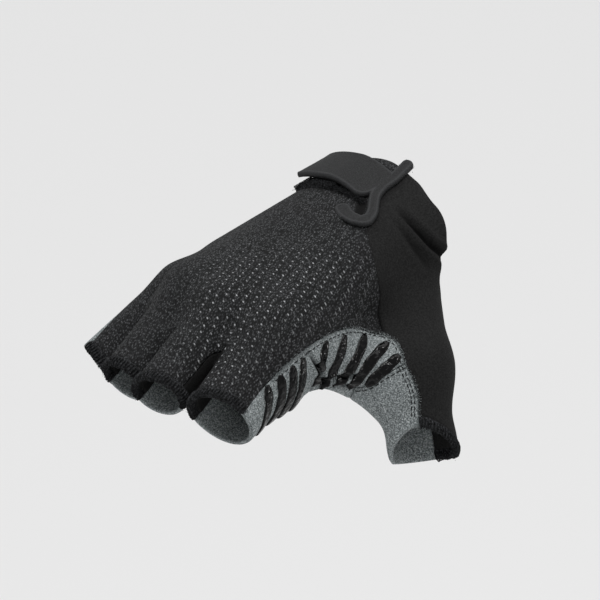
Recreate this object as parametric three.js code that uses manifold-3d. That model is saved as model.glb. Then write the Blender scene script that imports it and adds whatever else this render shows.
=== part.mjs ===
// A short-finger cycling glove for the right hand, in the form that it has on a hand, open inside.
// Lengths are millimetres. The origin is the centre of the wrist opening, +X is the thumb side, the fingers
// run along -Y and droop a little, and +Z is the back of the hand.
//
// One implicit form gives the outside of the glove: rounded cones that run into each other. Every panel, hem,
// bar and tab is a grid of points laid on that form at its own height, so a changed size carries all of them.

import * as THREE from 'three';
import Module from 'manifold-3d';

// Driving sizes.
const glove_length = 140;
const palm_breadth = 80;
const palm_depth = 34;

const knit_wall = 1.2;
const microfibre_wall = 1.3;
const suede_wall = 1.6;
const seam_gap = 0.4;

const fourchette_drop = 0.35;
const hem_width = 3.6;
const hem_rise = 0.4;
const cuff_width = 5;

const tab_width = 20;
const tab_thickness = 1.8;
const tab_seat = 0.4;
const tab_lift = 2.6;
const tab_corner = 5;
const hook_width = 4.2;
const loop_patch_thickness = 1.4;
const loop_patch_shift = 2.5;
const slit_width = 3.2;

const grip_width = 3.2;
const grip_rise = 0.6;
const surface_clearance = 0.4;

// Points nearer than this are one point.
const weld_distance = 0.05;

// A place is given in per cent: x of the breadth, y of the length towards the fingers, z of the depth.
const place = (x, y, z) => new THREE.Vector3(x * palm_breadth, -y * glove_length, z * palm_depth).multiplyScalar(0.01);

// Columns: near end x, y, z and radius, far end x, y, z and radius. Palm radii are per cent of the depth.
const palm_rows = [
  [16, -10, 3, 50, 36, 61, 12, 41],
  [5, -11, 6, 51, 11, 66, 18, 41],
  [-5, -11, 3, 50, -14, 64, 9, 38],
  [-15, -10, -9, 48, -33, 59, -24, 31],
  [-15, 7, -27, 44, -32, 44, -40, 35],
  [12, 36, -29, 38, 44, 69, -27, 38],
];

// Radii of the thumb and the fingers are per cent of the breadth.
const thumb_rows = [
  [20, 9, -27, 20, 65, 28.5, -82, 18.8],
  [65, 28.5, -82, 18.1, 86, 37, -147, 15.6],
  [86, 37, -147, 15.6, 98, 41.5, -206, 13.8],
  [40, 50, -32, 15.6, 62, 36, -88, 15],
];

// The crotch rows fill the skin between two fingers, up to where the fingers part.
const crotch_rows = [
  [34, 60, 9, 15, 33, 73.6, 3, 11.2],
  [0, 62, 8, 15, 4, 77, 0, 11.2],
  [-24, 58, -16, 12.5, -26, 71, -20, 10.6],
];

// Hem is the share of the finger's length where the glove ends, lean how far that end leans towards the thumb
// side, and the angles are the seams round the finger, from the back of the hand towards the thumb side. The
// little finger's outer seam turns a little further onto the back by the hem.
const fingers = [
  { name: 'index', row: [38, 64.3, 6, 15.6, 51, 93.6, -21, 13.6], root: 0.42, hem: 0.9, lean: -0.055,
    seams: [-65, 74, 74, 245], back_cuts: 5, palm_cuts: 6 },
  { name: 'middle', row: [11.5, 67.9, 15, 14.9, 25, 103, -15, 12.3], root: 0.29, hem: 0.85, lean: -0.035,
    seams: [-65, 65, 115, 245], back_cuts: 5, palm_cuts: 5 },
  { name: 'ring', row: [-15, 65.7, 3, 14.7, -4, 100, -32, 12], root: 0.35, hem: 0.9, lean: 0,
    seams: [-65, 65, 115, 245], back_cuts: 5, palm_cuts: 5 },
  { name: 'little', row: [-37, 60, -25, 13.8, -44, 91.5, -75, 12.1], root: 0.44, hem: 0.92, lean: 0.02,
    seams: [-48, 65, 115, 312], hem_turn: 32, back_cuts: 4, palm_cuts: 8 },
];
const index_pad_row = [42, 68.6, -24, 15, 52.5, 90, -34, 13.4];

// How softly the cones run into each other.
const palm_blend = 0.47 * palm_depth;
const knuckle_blend = 0.11 * palm_breadth;
const thumb_blend = 0.17 * palm_breadth;
const web_blend = 0.15 * palm_breadth;
const finger_blend = 0.015 * palm_breadth;
const pad_blend = 0.06 * palm_breadth;

const cone = (row, radius_unit) => ({
  a: place(row[0], row[1], row[2]),
  ra: 0.01 * row[3] * radius_unit,
  b: place(row[4], row[5], row[6]),
  rb: 0.01 * row[7] * radius_unit,
});
const palm_cones = palm_rows.map((row) => cone(row, palm_depth));
const thumb_cones = thumb_rows.map((row) => cone(row, palm_breadth));
const finger_cones = fingers.map((finger) => cone(finger.row, palm_breadth));
const crotch_cones = crotch_rows.map((row) => cone(row, palm_breadth));
const index_pad = cone(index_pad_row, palm_breadth);

function cone_distance(p, { a, b, ra, rb }) {
  const [dx, dy, dz] = [b.x - a.x, b.y - a.y, b.z - a.z];
  const [px, py, pz] = [p.x - a.x, p.y - a.y, p.z - a.z];
  const t = Math.min(1, Math.max(0, (px * dx + py * dy + pz * dz) / (dx * dx + dy * dy + dz * dz)));
  return Math.hypot(px - t * dx, py - t * dy, pz - t * dz) - (ra + (rb - ra) * t);
}

function smooth_union(a, b, blend) {
  const near = Math.max(blend - Math.abs(a - b), 0) / blend;
  return Math.min(a, b) - 0.25 * near * near * blend;
}

// The glove's outside is where this is zero. It is negative inside. One finger's own form leaves the others out.
function form(p, own = null) {
  const united = (cones, blend) => cones.map((each) => cone_distance(p, each))
    .reduce((sum, distance) => smooth_union(sum, distance, blend));
  const palm = united(palm_cones, palm_blend);
  const bare = united([...finger_cones.filter((_, k) => own === null || own === k), ...crotch_cones], finger_blend);
  const digits = own === null || own === 0 ? smooth_union(bare, cone_distance(p, index_pad), pad_blend) : bare;
  const [thenar, thumb, thumb_end, web] = thumb_cones.map((each) => cone_distance(p, each));
  const thumb_side = smooth_union(smooth_union(thenar, smooth_union(thumb, thumb_end, pad_blend), knuckle_blend),
    web, web_blend);
  return smooth_union(smooth_union(palm, digits, knuckle_blend), thumb_side, thumb_blend);
}

function slope(p, own = null) {
  const step = 0.05;
  const along = (axis) => {
    const [ahead, behind] = [p.clone(), p.clone()];
    ahead[axis] += step;
    behind[axis] -= step;
    return (form(ahead, own) - form(behind, own)) / (2 * step);
  };
  return new THREE.Vector3(along('x'), along('y'), along('z'));
}

function laid(point, height = 0, { own = null, rounds = 12 } = {}) {
  const p = point.clone();
  for (let i = 0; i < rounds; i += 1) {
    const gradient = slope(p, own);
    p.addScaledVector(gradient, -(form(p, own) - height) / Math.max(gradient.lengthSq(), 0.04));
  }
  return p;
}

// A chart is a straight axis with angles round it, from the back of the hand towards the thumb side.
function chart(origin, end, up) {
  const along = end.clone().sub(origin).normalize();
  const zenith = up.clone().addScaledVector(along, -up.dot(along)).normalize();
  return { origin, along, zenith, side: new THREE.Vector3().crossVectors(zenith, along) };
}

function chart_point({ origin, along, zenith, side }, degrees, distance, radius) {
  const angle = THREE.MathUtils.degToRad(degrees);
  return origin.clone().addScaledVector(along, distance)
    .addScaledVector(zenith, radius * Math.cos(angle)).addScaledVector(side, radius * Math.sin(angle));
}

function chart_place({ origin, along, zenith, side }, point) {
  const offset = point.clone().sub(origin);
  const distance = offset.dot(along);
  const [up, out] = [offset.dot(zenith), offset.dot(side)];
  return new THREE.Vector3(THREE.MathUtils.radToDeg(Math.atan2(out, up)), distance, Math.hypot(up, out));
}

// The place on the form that a line from the chart's axis first meets.
function met(on_chart, degrees, distance, own = null) {
  let radius = 0;
  for (let i = 0; i < 60; i += 1) {
    radius -= 0.9 * form(chart_point(on_chart, degrees, distance, radius), own);
  }
  return chart_point(on_chart, degrees, distance, radius);
}

const up = new THREE.Vector3(0, 0, 1);
const hand_chart = chart(new THREE.Vector3(), place(0, 100, -23), up);
const thumb_chart = chart(thumb_cones[1].a, thumb_cones[1].b, new THREE.Vector3(0, -0.3, 1));
const finger_charts = finger_cones.map(({ a, b }) => chart(a, b, up));

// A curve through chosen places, cut into equal steps and laid on the form.
const curve = (points, cuts, own = null) => new THREE.CatmullRomCurve3(points, false, 'centripetal')
  .getSpacedPoints(cuts).map((point, i) => (i === 0 || i === cuts ? point : laid(point, 0, { own })));
const steps = (from, to, cuts) => Array.from({ length: cuts + 1 }, (_, i) => from + (to - from) * (i / cuts));
const joined = (...runs) => runs.reduce((sum, run) => [...sum, ...run.slice(1)]);
const reversed = (run) => [...run].reverse();

// A grid of guesses between four boundary runs, blended round a chart's axis or straight in space.
function patch({ south, north, west, east, around = null, own = null }) {
  let previous = null;
  const into = (point, start) => {
    if (!around) return point;
    const placed = chart_place(around, point);
    while (placed.x - start > 180) placed.x -= 360;
    while (placed.x - start < -180) placed.x += 360;
    return placed;
  };
  const unwound = (run, start) => run.map((point, i) => {
    previous = into(point, i === 0 ? start : previous.x);
    return previous;
  });
  const s = unwound(south, around ? chart_place(around, south[0]).x : 0);
  const w = unwound(west, s[0].x);
  const e = unwound(east, s[s.length - 1].x);
  const n = unwound(north, w[w.length - 1].x);
  const [rows, columns] = [west.length - 1, south.length - 1];
  const grid = steps(0, 1, rows).map((v, j) => steps(0, 1, columns).map((u, i) => {
    if (j === 0) return south[i];
    if (j === rows) return north[i];
    if (i === 0) return west[j];
    if (i === columns) return east[j];
    const point = new THREE.Vector3()
      .addScaledVector(s[i], 1 - v).addScaledVector(n[i], v)
      .addScaledVector(w[j], 1 - u).addScaledVector(e[j], u)
      .addScaledVector(s[0], -(1 - u) * (1 - v)).addScaledVector(s[columns], -u * (1 - v))
      .addScaledVector(n[0], -(1 - u) * v).addScaledVector(n[columns], -u * v);
    return laid(around ? chart_point(around, point.x, point.y, point.z) : point, 0, { own });
  }));
  return { grid, own };
}

// Three runs side by side, with the rows bent through the middle one and the first and last rows as given.
function bent_patch({ south, north, west, middle, east }) {
  const [rows, columns] = [west.length - 1, south.length - 1];
  const bent = (i, j) => {
    const u = i / columns;
    return new THREE.Vector3().addScaledVector(west[j], (1 - u) * (1 - 2 * u))
      .addScaledVector(middle[j], 4 * u * (1 - u)).addScaledVector(east[j], u * (2 * u - 1));
  };
  const grid = west.map((start, j) => south.map((_, i) => {
    if (j === 0) return south[i];
    if (j === rows) return north[i];
    if (i === 0) return start;
    if (i === columns) return east[j];
    const v = j / rows;
    return laid(bent(i, j).addScaledVector(south[i].clone().sub(bent(i, 0)), 1 - v)
      .addScaledVector(north[i].clone().sub(bent(i, rows)), v));
  }));
  return { grid, own: null };
}

// A closed thin solid over patches of points: they are welded, evened out and given a wall between two heights.
// The edge stays back from the seam, so that two neighbours keep the seam gap.
function sheet({ patches, outer = 0, inner, margin = seam_gap / 2, rounds = 16 }) {
  const points = [];
  const owners = [];
  const number_of = (point, own) => {
    const known = points.findIndex((other) => other.distanceToSquared(point) < weld_distance ** 2);
    if (known >= 0) return known;
    owners.push(own);
    return points.push(point.clone()) - 1;
  };
  const faces = patches.flatMap(({ grid, own }) => {
    const ids = grid.map((row) => row.map((point) => number_of(point, own)));
    const quads = [];
    for (let j = 0; j + 1 < ids.length; j += 1) {
      for (let i = 0; i + 1 < ids[j].length; i += 1) {
        quads.push([ids[j][i], ids[j][i + 1], ids[j + 1][i + 1], ids[j + 1][i]]);
      }
    }
    const facing = quads.reduce((sum, [a, b, , d]) => sum + points[b].clone().sub(points[a])
      .cross(points[d].clone().sub(points[a])).dot(slope(points[a], own)), 0);
    return facing > 0 ? quads : quads.map((quad) => quad.reverse());
  });

  const edges = new Set(faces.flatMap((face) => face.map((a, i) => `${a},${face[(i + 1) % 4]}`)));
  const after = new Map();
  const around = points.map(() => new Set());
  edges.forEach((edge) => {
    const [a, b] = edge.split(',').map(Number);
    around[a].add(b);
    around[b].add(a);
    if (!edges.has(`${b},${a}`)) after.set(a, b);
  });
  const before = new Map([...after].map(([a, b]) => [b, a]));

  for (let round = 0; round < rounds; round += 1) {
    points.forEach((point, id) => {
      if (after.has(id)) return;
      const mean = [...around[id]].reduce((sum, other) => sum.add(points[other]), new THREE.Vector3());
      point.copy(laid(mean.divideScalar(around[id].size), 0, { own: owners[id], rounds: 3 }));
    });
  }

  const drawn_in = points.map((point, id) => {
    if (!after.has(id) || margin === 0) return point;
    const normal = slope(point, owners[id]).normalize();
    const inward = (a, b) => normal.clone().cross(points[b].clone().sub(points[a])).normalize();
    const [first, second] = [inward(before.get(id), id), inward(id, after.get(id))];
    const bisector = first.clone().add(second).normalize();
    return point.clone().addScaledVector(bisector, margin / Math.max(bisector.dot(first), 0.3));
  });

  const outside = drawn_in.map((point, id) => laid(point, outer, { own: owners[id], rounds: 6 }));
  const inside = outside.map((point, id) => {
    const normal = slope(point, owners[id]).normalize();
    return laid(point.clone().addScaledVector(normal, inner - outer), inner, { own: owners[id], rounds: 2 });
  });
  const count = points.length;
  const triangles = faces.flatMap(([a, b, c, d]) => {
    const short = outside[a].distanceTo(outside[c]) <= outside[b].distanceTo(outside[d]);
    const halves = short ? [[a, b, c], [a, c, d]] : [[a, b, d], [b, c, d]];
    return halves.flatMap(([p, q, r]) => [p, q, r, p + count, r + count, q + count]);
  });
  after.forEach((b, a) => triangles.push(b, a, a + count, b, a + count, b + count));
  return solid_geometry([...outside, ...inside], triangles);
}

function solid_geometry(points, triangles) {
  const geometry = new THREE.BufferGeometry();
  geometry.setAttribute('position', new THREE.Float32BufferAttribute(points.flatMap((p) => p.toArray()), 3));
  geometry.setIndex(triangles);
  return geometry;
}

// A strip of one width along a path, laid flat on the form.
function strip_patch(path, width, across = 2) {
  const half_widths = Array.isArray(width) ? width : path.map(() => width / 2);
  return path.map((point, i) => {
    const tangent = path[Math.min(i + 1, path.length - 1)].clone().sub(path[Math.max(i - 1, 0)]);
    const sideways = tangent.cross(slope(point)).normalize();
    return steps(-1, 1, across).map((u) => laid(point.clone().addScaledVector(sideways, u * half_widths[i])));
  });
}

// Joins and cuts of closed solids.
const wasm = await Module();
wasm.setup();

function manifold_of(geometry) {
  return new wasm.Manifold(new wasm.Mesh({
    numProp: 3,
    vertProperties: new Float32Array(geometry.getAttribute('position').array),
    triVerts: new Uint32Array(geometry.getIndex().array),
  }));
}

function geometry_of(manifold) {
  const { vertProperties, triVerts } = manifold.getMesh();
  const geometry = new THREE.BufferGeometry();
  geometry.setAttribute('position', new THREE.BufferAttribute(vertProperties.slice(), 3));
  geometry.setIndex(new THREE.BufferAttribute(triVerts.slice(), 1));
  return geometry;
}

// The wrist's edge leans: columns are the angle round the hand and the share of the length.
const cuff_rows = [[-180, 5], [-120, 3], [-60, -1.5], [0, -3.5], [36, -2.4], [60, -0.6], [106, 7.6], [130, 8.4], [180, 5]];

function cuff_share(degrees) {
  const angle = ((degrees + 540) % 360) - 180;
  const k = cuff_rows.findIndex(([end], i) => i > 0 && angle <= end);
  const [[a0, y0], [a1, y1]] = [cuff_rows[k - 1], cuff_rows[k]];
  return y0 + (y1 - y0) * THREE.MathUtils.smoothstep((angle - a0) / (a1 - a0), 0, 1);
}

function cuff_run(from, to, cuts, inset) {
  return steps(from, to, cuts)
    .map((angle) => met(hand_chart, angle, 0.01 * cuff_share(angle) * glove_length + inset));
}

const panel_inset = cuff_width + seam_gap;
const cuff_at = (angle) => cuff_run(angle, angle, 1, panel_inset)[0];

// Where the seams reach the wrist, as angles round the hand.
const back_seam_angle = 17;
const thumb_seam_angle = 130;
const ulnar_seam_angle = -105;

// Roots and hems of the four finger stalls.
function crotch_run(k, cuts) {
  const { b, rb } = crotch_cones[k];
  return steps(55, -55, cuts).map((degrees) => {
    const angle = THREE.MathUtils.degToRad(degrees);
    return laid(b.clone().add(new THREE.Vector3(0, -rb * Math.cos(angle), rb * Math.sin(angle))));
  });
}

const crotch_cuts = 3;
const crotches = crotch_rows.map((_, k) => crotch_run(k, crotch_cuts));
const hem_cuts = 4;

function stall_runs(finger, k) {
  const axis = finger_charts[k];
  const { a, b } = finger_cones[k];
  const length = a.distanceTo(b);
  const [ulnar_back, thumb_back, thumb_palm, ulnar_palm] = finger.seams;
  const turn = finger.hem_turn ?? 0;
  const hem_place = (degrees, inset) => length * (finger.hem + finger.lean * Math.sin(THREE.MathUtils.degToRad(degrees)))
    - inset;
  const at_root = (degrees) => met(axis, degrees, length * finger.root, k);
  const at_hem = (degrees, inset = hem_width) => met(axis, degrees, hem_place(degrees, inset), k);
  const thumb_crotch = crotches[k - 1];
  const ulnar_crotch = crotches[k];
  const corners = {
    thumb_back: thumb_crotch ? thumb_crotch[0] : at_root(thumb_back),
    thumb_palm: thumb_crotch ? thumb_crotch[crotch_cuts] : at_root(thumb_palm),
    ulnar_palm: ulnar_crotch ? ulnar_crotch[crotch_cuts] : at_root(ulnar_palm),
    ulnar_back: ulnar_crotch ? ulnar_crotch[0] : at_root(ulnar_back),
  };
  const root_arc = (start, end, from, to, cuts) => curve([start,
    ...[0.25, 0.5, 0.75].map((share) => at_root(from + (to - from) * share)), end], cuts, k);
  const hem_arc = (from, to, cuts) => steps(from, to, cuts).map((degrees) => at_hem(degrees));
  const side = (corner, degrees, twist = 0) => curve([corner, met(axis, degrees + twist / 2,
    0.5 * (chart_place(axis, corner).y + hem_place(degrees, hem_width)), k), at_hem(degrees + twist)], hem_cuts, k);
  return {
    axis,
    own: k,
    back_root: root_arc(corners.ulnar_back, corners.thumb_back, ulnar_back, thumb_back, finger.back_cuts),
    back_hem: hem_arc(ulnar_back + turn, thumb_back, finger.back_cuts),
    palm_root: root_arc(corners.thumb_palm, corners.ulnar_palm, thumb_palm, ulnar_palm, finger.palm_cuts),
    palm_hem: hem_arc(thumb_palm, ulnar_palm + turn, finger.palm_cuts),
    thumb_side_hem: hem_arc(thumb_back, thumb_palm, crotch_cuts),
    ulnar_side_hem: hem_arc(ulnar_palm, ulnar_back + 360, crotch_cuts),
    ulnar_back_side: side(corners.ulnar_back, ulnar_back, turn),
    thumb_back_side: side(corners.thumb_back, thumb_back),
    thumb_palm_side: side(corners.thumb_palm, thumb_palm),
    ulnar_palm_side: side(corners.ulnar_palm, ulnar_palm, turn),
    at_hem,
  };
}
const stalls = fingers.map(stall_runs);
const [index_stall, , , little_stall] = stalls;

// The thumb's stall: shares of its axis where the hem lies, lowest over the nail, and the two seam angles.
const thumb_length = thumb_cones[1].a.distanceTo(thumb_cones[1].b);
const thumb_hem = { top: 0.79, drop: 0.4, lean: 8, span: 110, back_seam: 12, palm_seam: 170 };

function thumb_hem_point(degrees, inset = hem_width) {
  const turned = Math.abs(((degrees - thumb_hem.lean + 540) % 360) - 180);
  const drop = THREE.MathUtils.smoothstep(turned / thumb_hem.span, 0, 1) * thumb_hem.drop;
  return met(thumb_chart, degrees, thumb_length * (thumb_hem.top + drop) - inset);
}
const thumb_hem_run = (from, to, cuts) => steps(from, to, cuts).map((degrees) => thumb_hem_point(degrees));

// Seams over the hand. Each is cut once, and both of its panels share the points.
const web_corner = laid(place(57, 34, -30));
const thumb_corner = laid(place(75, 36, -46));
const hidden_corner = laid(place(61, 20.7, -115));
const gate_palm = laid(place(62.5, 48.6, -67));
const gate_back = laid(place(58, 61.6, 14));
const thumb_hem_back = thumb_hem_point(thumb_hem.back_seam);
const thumb_hem_palm = thumb_hem_point(thumb_hem.palm_seam);

const cuts = { back: 5, web: 5, corner: 4, gate: 4, knuckle: 4, thumb: 4, hidden: 6 };
const seam_back = curve([cuff_at(back_seam_angle), place(13, 10, 67), place(17, 13.5, 65), place(25.6, 22.4, 60),
  place(37.4, 27, 47), place(45, 28.9, 26), place(47.6, 29.3, -5), web_corner], cuts.back + 2);
const seam_web = curve([web_corner, place(53.4, 38, -20), place(54.6, 45.4, 0), place(55.6, 53, 9), gate_back],
  cuts.web);
const seam_knuckle = curve([gate_back, place(59, 67.7, 13), index_stall.thumb_back_side[0]], cuts.knuckle);
const seam_corner = curve([web_corner, place(65.8, 33.7, -33), thumb_corner], cuts.corner);
const seam_thumb = curve([thumb_corner, place(80.8, 36.4, -61), place(85, 37, -79), thumb_hem_back], cuts.thumb);
const seam_thumb_base = curve([thumb_corner, place(71, 42, -54), place(67, 46, -64), gate_palm], cuts.web);
const seam_gate = curve([gate_palm, place(60.6, 55.7, -26), gate_back], cuts.gate);
const seam_hidden = curve([hidden_corner, place(54, 26.5, -123), place(51.5, 34, -118), place(52.5, 44, -100),
  gate_palm], cuts.hidden);
const seam_thumb_palm = curve([hidden_corner, met(thumb_chart, thumb_hem.palm_seam, 0.55 * thumb_length),
  thumb_hem_palm], cuts.thumb);
const cuff_to_hidden = cuts.back + 2 + cuts.corner;
const seam_palm_heel = curve([cuff_at(thumb_seam_angle), place(50, 15.7, -91), hidden_corner], cuff_to_hidden);

// The ulnar seam. Columns: share of the length, angle round the hand.
const ulnar_rows = [[28, -101], [50, -97], [63, -95]];
const ulnar_places = [cuff_at(ulnar_seam_angle),
  ...ulnar_rows.map(([share, angle]) => met(hand_chart, angle, 0.01 * share * glove_length)),
  little_stall.ulnar_back_side[0]];
const ulnar_seam = (count) => curve(ulnar_places, count);

const back_edge = joined(seam_back, seam_web, seam_knuckle);
const palm_edge = joined(seam_palm_heel, seam_hidden, seam_gate, seam_knuckle);
const back_columns = fingers.reduce((sum, finger) => sum + finger.back_cuts, 0);
const palm_columns = fingers.reduce((sum, finger) => sum + finger.palm_cuts, 0);

const back_patches = [
  patch({
    south: cuff_run(back_seam_angle, ulnar_seam_angle, back_columns, panel_inset),
    north: joined(...stalls.map((stall) => reversed(stall.back_root))),
    west: back_edge,
    east: ulnar_seam(back_edge.length - 1),
    around: hand_chart,
  }),
  ...stalls.map((stall) => patch({
    south: stall.back_root,
    north: stall.back_hem,
    west: stall.ulnar_back_side,
    east: stall.thumb_back_side,
    around: stall.axis,
    own: stall.own,
  })),
];

const palm_patches = [
  patch({
    south: cuff_run(thumb_seam_angle, 360 + ulnar_seam_angle, palm_columns, panel_inset),
    north: joined(...stalls.map((stall) => stall.palm_root)),
    west: palm_edge,
    east: ulnar_seam(palm_edge.length - 1),
    around: hand_chart,
  }),
  patch({ south: seam_gate, north: reversed(seam_corner), west: reversed(seam_thumb_base), east: reversed(seam_web) }),
  ...stalls.map((stall) => patch({
    south: stall.palm_root,
    north: stall.palm_hem,
    west: stall.thumb_palm_side,
    east: stall.ulnar_palm_side,
    around: stall.axis,
    own: stall.own,
  })),
];

const thumb_ridge = curve([cuff_at(80), place(60, 15.5, -44), place(74.8, 19, -59),
  place(83, 22.4, -75.6), place(88.5, 26.5, -115), thumb_hem_point(93)], cuff_to_hidden + cuts.thumb);
const thumb_columns = 12;
const thumb_back_patches = [bent_patch({
  south: cuff_run(back_seam_angle, thumb_seam_angle, thumb_columns, panel_inset),
  north: thumb_hem_run(thumb_hem.back_seam, thumb_hem.palm_seam, thumb_columns),
  west: joined(seam_back, seam_corner, seam_thumb),
  middle: thumb_ridge,
  east: joined(seam_palm_heel, seam_thumb_palm),
})];

const thumb_base = joined(seam_thumb_base, reversed(seam_hidden));
const thumb_palm_patches = [patch({
  south: thumb_base,
  north: thumb_hem_run(thumb_hem.back_seam, thumb_hem.palm_seam - 360, thumb_base.length - 1),
  west: seam_thumb,
  east: seam_thumb_palm,
  around: thumb_chart,
})];

const fourchette_patches = (k) => {
  const [thumbward, ulnar] = [stalls[k], stalls[k + 1]];
  return [
    patch({ south: crotches[k], north: reversed(thumbward.ulnar_side_hem), west: thumbward.ulnar_back_side,
      east: thumbward.ulnar_palm_side, around: thumbward.axis, own: thumbward.own }),
    patch({ south: crotches[k], north: ulnar.thumb_side_hem, west: ulnar.thumb_back_side,
      east: ulnar.thumb_palm_side, around: ulnar.axis, own: ulnar.own }),
  ];
};

// A fourchette sits a little low, so that the two sides of a crotch stay clear of each other.
const fourchette = (k) => sheet({
  patches: fourchette_patches(k),
  outer: -fourchette_drop,
  inner: -fourchette_drop - microfibre_wall,
  margin: 1.25 * seam_gap,
});

// A hem is a ring beyond the panels' ends, a little proud of them.
const ring_cuts = 22;
const ring_patch = (point_at, own) => ({
  grid: steps(hem_width, 0, 2).map((inset) => steps(0, 360, ring_cuts)
    .map((degrees) => point_at(degrees % 360, inset))),
  own,
});

const hem = (point_at, own) => sheet({
  patches: [ring_patch(point_at, own)],
  outer: hem_rise,
  inner: -suede_wall,
  rounds: 0,
});

// The binding shares its cuts with the three panels that it holds.
const cuff_patch = {
  grid: steps(cuff_width, 0, 2).map((inset) => joined(
    cuff_run(back_seam_angle, thumb_seam_angle, thumb_columns, inset),
    cuff_run(thumb_seam_angle, 360 + ulnar_seam_angle, palm_columns, inset),
    cuff_run(360 + ulnar_seam_angle, 360 + back_seam_angle, back_columns, inset),
  )),
  own: null,
};

// The tab lies over the back of the wrist. Columns: angle round the hand, share of the length of its middle.
const tab_rows = [[26, 9], [13, 8.6], [-5, 8.2], [-25, 8], [-45, 8], [-66, 8]];
const hook_rows = [[25, 11], [31, 14], [35.5, 17], [35, 20], [28, 22], [19, 20.5], [11, 17.5], [3, 15]];
const tape_rows = [[23, 8], [20.5, 4], [19, 0.5], [18.5, -3.5]];
const on_hand = ([angle, share]) => met(hand_chart, angle, 0.01 * share * glove_length);

function tab_half_widths(cuts_along, length, width, corner) {
  return steps(0, length, cuts_along).map((distance) => {
    const into_corner = Math.max(0, corner - (length - distance));
    return width / 2 - corner + Math.sqrt(Math.max(corner * corner - into_corner * into_corner, 0.04 * corner * corner));
  });
}

const run_length = (run) => run.slice(1).reduce((sum, point, i) => sum + point.distanceTo(run[i]), 0);

// The tab's plate rises from its seat on the glove to clear the patch below its free end.
function tab_plate() {
  const tab_cuts = 18;
  const path = curve(tab_rows.map(on_hand), tab_cuts);
  const rows = strip_patch(path, tab_half_widths(tab_cuts, run_length(path), tab_width, tab_corner), 4);
  const height = (i) => tab_seat + (tab_lift - tab_seat) * THREE.MathUtils.smoothstep(i / tab_cuts, 0, 0.45);
  return plate(rows, (i) => [height(i), height(i) + tab_thickness]);
}

// A solid between two heights that may change from row to row.
function plate(rows, heights) {
  const columns = rows[0].length;
  const level = (side) => rows.flatMap((row, i) => row.map((point) => laid(point, heights(i)[side])));
  const points = [...level(0), ...level(1)];
  const count = rows.length * columns;
  const id = (i, j) => i * columns + j;
  const triangles = [];
  const quad = (a, b, c, d) => triangles.push(a, b, c, a, c, d);
  for (let i = 0; i + 1 < rows.length; i += 1) {
    for (let j = 0; j + 1 < columns; j += 1) {
      quad(id(i, j), id(i + 1, j), id(i + 1, j + 1), id(i, j + 1));
      quad(count + id(i, j), count + id(i, j + 1), count + id(i + 1, j + 1), count + id(i + 1, j));
    }
    quad(id(i, 0), count + id(i, 0), count + id(i + 1, 0), id(i + 1, 0));
    quad(id(i + 1, columns - 1), count + id(i + 1, columns - 1), count + id(i, columns - 1), id(i, columns - 1));
  }
  const last = rows.length - 1;
  for (let j = 0; j + 1 < columns; j += 1) {
    quad(id(0, j + 1), count + id(0, j + 1), count + id(0, j), id(0, j));
    quad(id(last, j), count + id(last, j), count + id(last, j + 1), id(last, j + 1));
  }
  const turned = points[id(1, 0)].clone().sub(points[0]).cross(points[1].clone().sub(points[0]))
    .dot(slope(points[0]));
  if (turned > 0) {
    for (let t = 0; t < triangles.length; t += 3) {
      [triangles[t + 1], triangles[t + 2]] = [triangles[t + 2], triangles[t + 1]];
    }
  }
  return solid_geometry(points, triangles);
}

const flat_strip = (path, width, from, to, across = 2) => plate(strip_patch(path, width, across), () => [from, to]);

function closure_tab() {
  const hook = flat_strip(curve(hook_rows.map(on_hand), 16), hook_width, tab_seat, tab_seat + tab_thickness);
  const tape_seat = hem_rise + surface_clearance;
  const tape = flat_strip(curve(tape_rows.map(on_hand), 6), hook_width, tape_seat, tape_seat + tab_thickness);
  return geometry_of(manifold_of(tab_plate()).add(manifold_of(hook)).add(manifold_of(tape)));
}

function loop_patch() {
  const cuts_along = 10;
  const path = curve([[-14, 8], [-30, 8], [-50, 8], [-68, 8]].map(([angle, share]) => on_hand([angle,
    share + 100 * loop_patch_shift / glove_length])), cuts_along);
  const rows = strip_patch(path, tab_half_widths(cuts_along, run_length(path), tab_width, tab_corner / 2), 4);
  return plate(rows, () => [surface_clearance, surface_clearance + loop_patch_thickness]);
}

// The slit in the back panel ends inside the hook.
function back_panel() {
  const panel = manifold_of(sheet({ patches: back_patches, inner: -knit_wall }));
  const slit = flat_strip(curve([[28, 18.5], [22, 15.5], [14, 11.5]].map(on_hand), 6), slit_width,
    -2 * knit_wall, knit_wall);
  return geometry_of(panel.subtract(manifold_of(slit)));
}

// Grip bars. Columns: the start, the middle and the end of each bar, as places.
const grip_rows = [
  [[61, 78, -4], [63, 79, -24], [61, 82, -48]],
  [[61, 73.5, 0], [62, 74, -22], [60, 77, -50]],
  [[61, 69.5, 3], [62, 70, -15], [60, 73, -46]],
  [[60, 65, 4], [62, 66, -13], [60, 69, -44]],
  [[57, 54, 2], [58, 56.5, -12], [58, 59, -34]],
  [[57, 47.5, -5], [59, 50.5, -20], [57, 56, -48]],
  [[57, 40, -22], [61, 46, -31], [59, 52.5, -55]],
  [[64, 36.3, -33], [64, 42.5, -40], [62, 49, -60]],
  [[71, 36.5, -43], [70, 41, -48], [67, 45, -60]],
  [[30, 60, -62], [18, 62, -52], [4, 62, -42]],
  [[28, 67, -60], [16, 69, -46], [2, 69, -36]],
  [[-14, 62, -46], [-22, 55, -52], [-28, 46, -62]],
  [[-6, 66, -40], [-12, 58, -46], [-16, 48, -60]],
];
const grip_cuts = 8;

function grip_bar(row) {
  const path = curve(row.map((at) => place(...at)), grip_cuts);
  const half_widths = path.map((_, i) => 0.5 * grip_width * (i === 0 || i === grip_cuts ? 0.55 : 1));
  return plate(strip_patch(path, half_widths), () => [surface_clearance, surface_clearance + grip_rise]);
}

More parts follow.
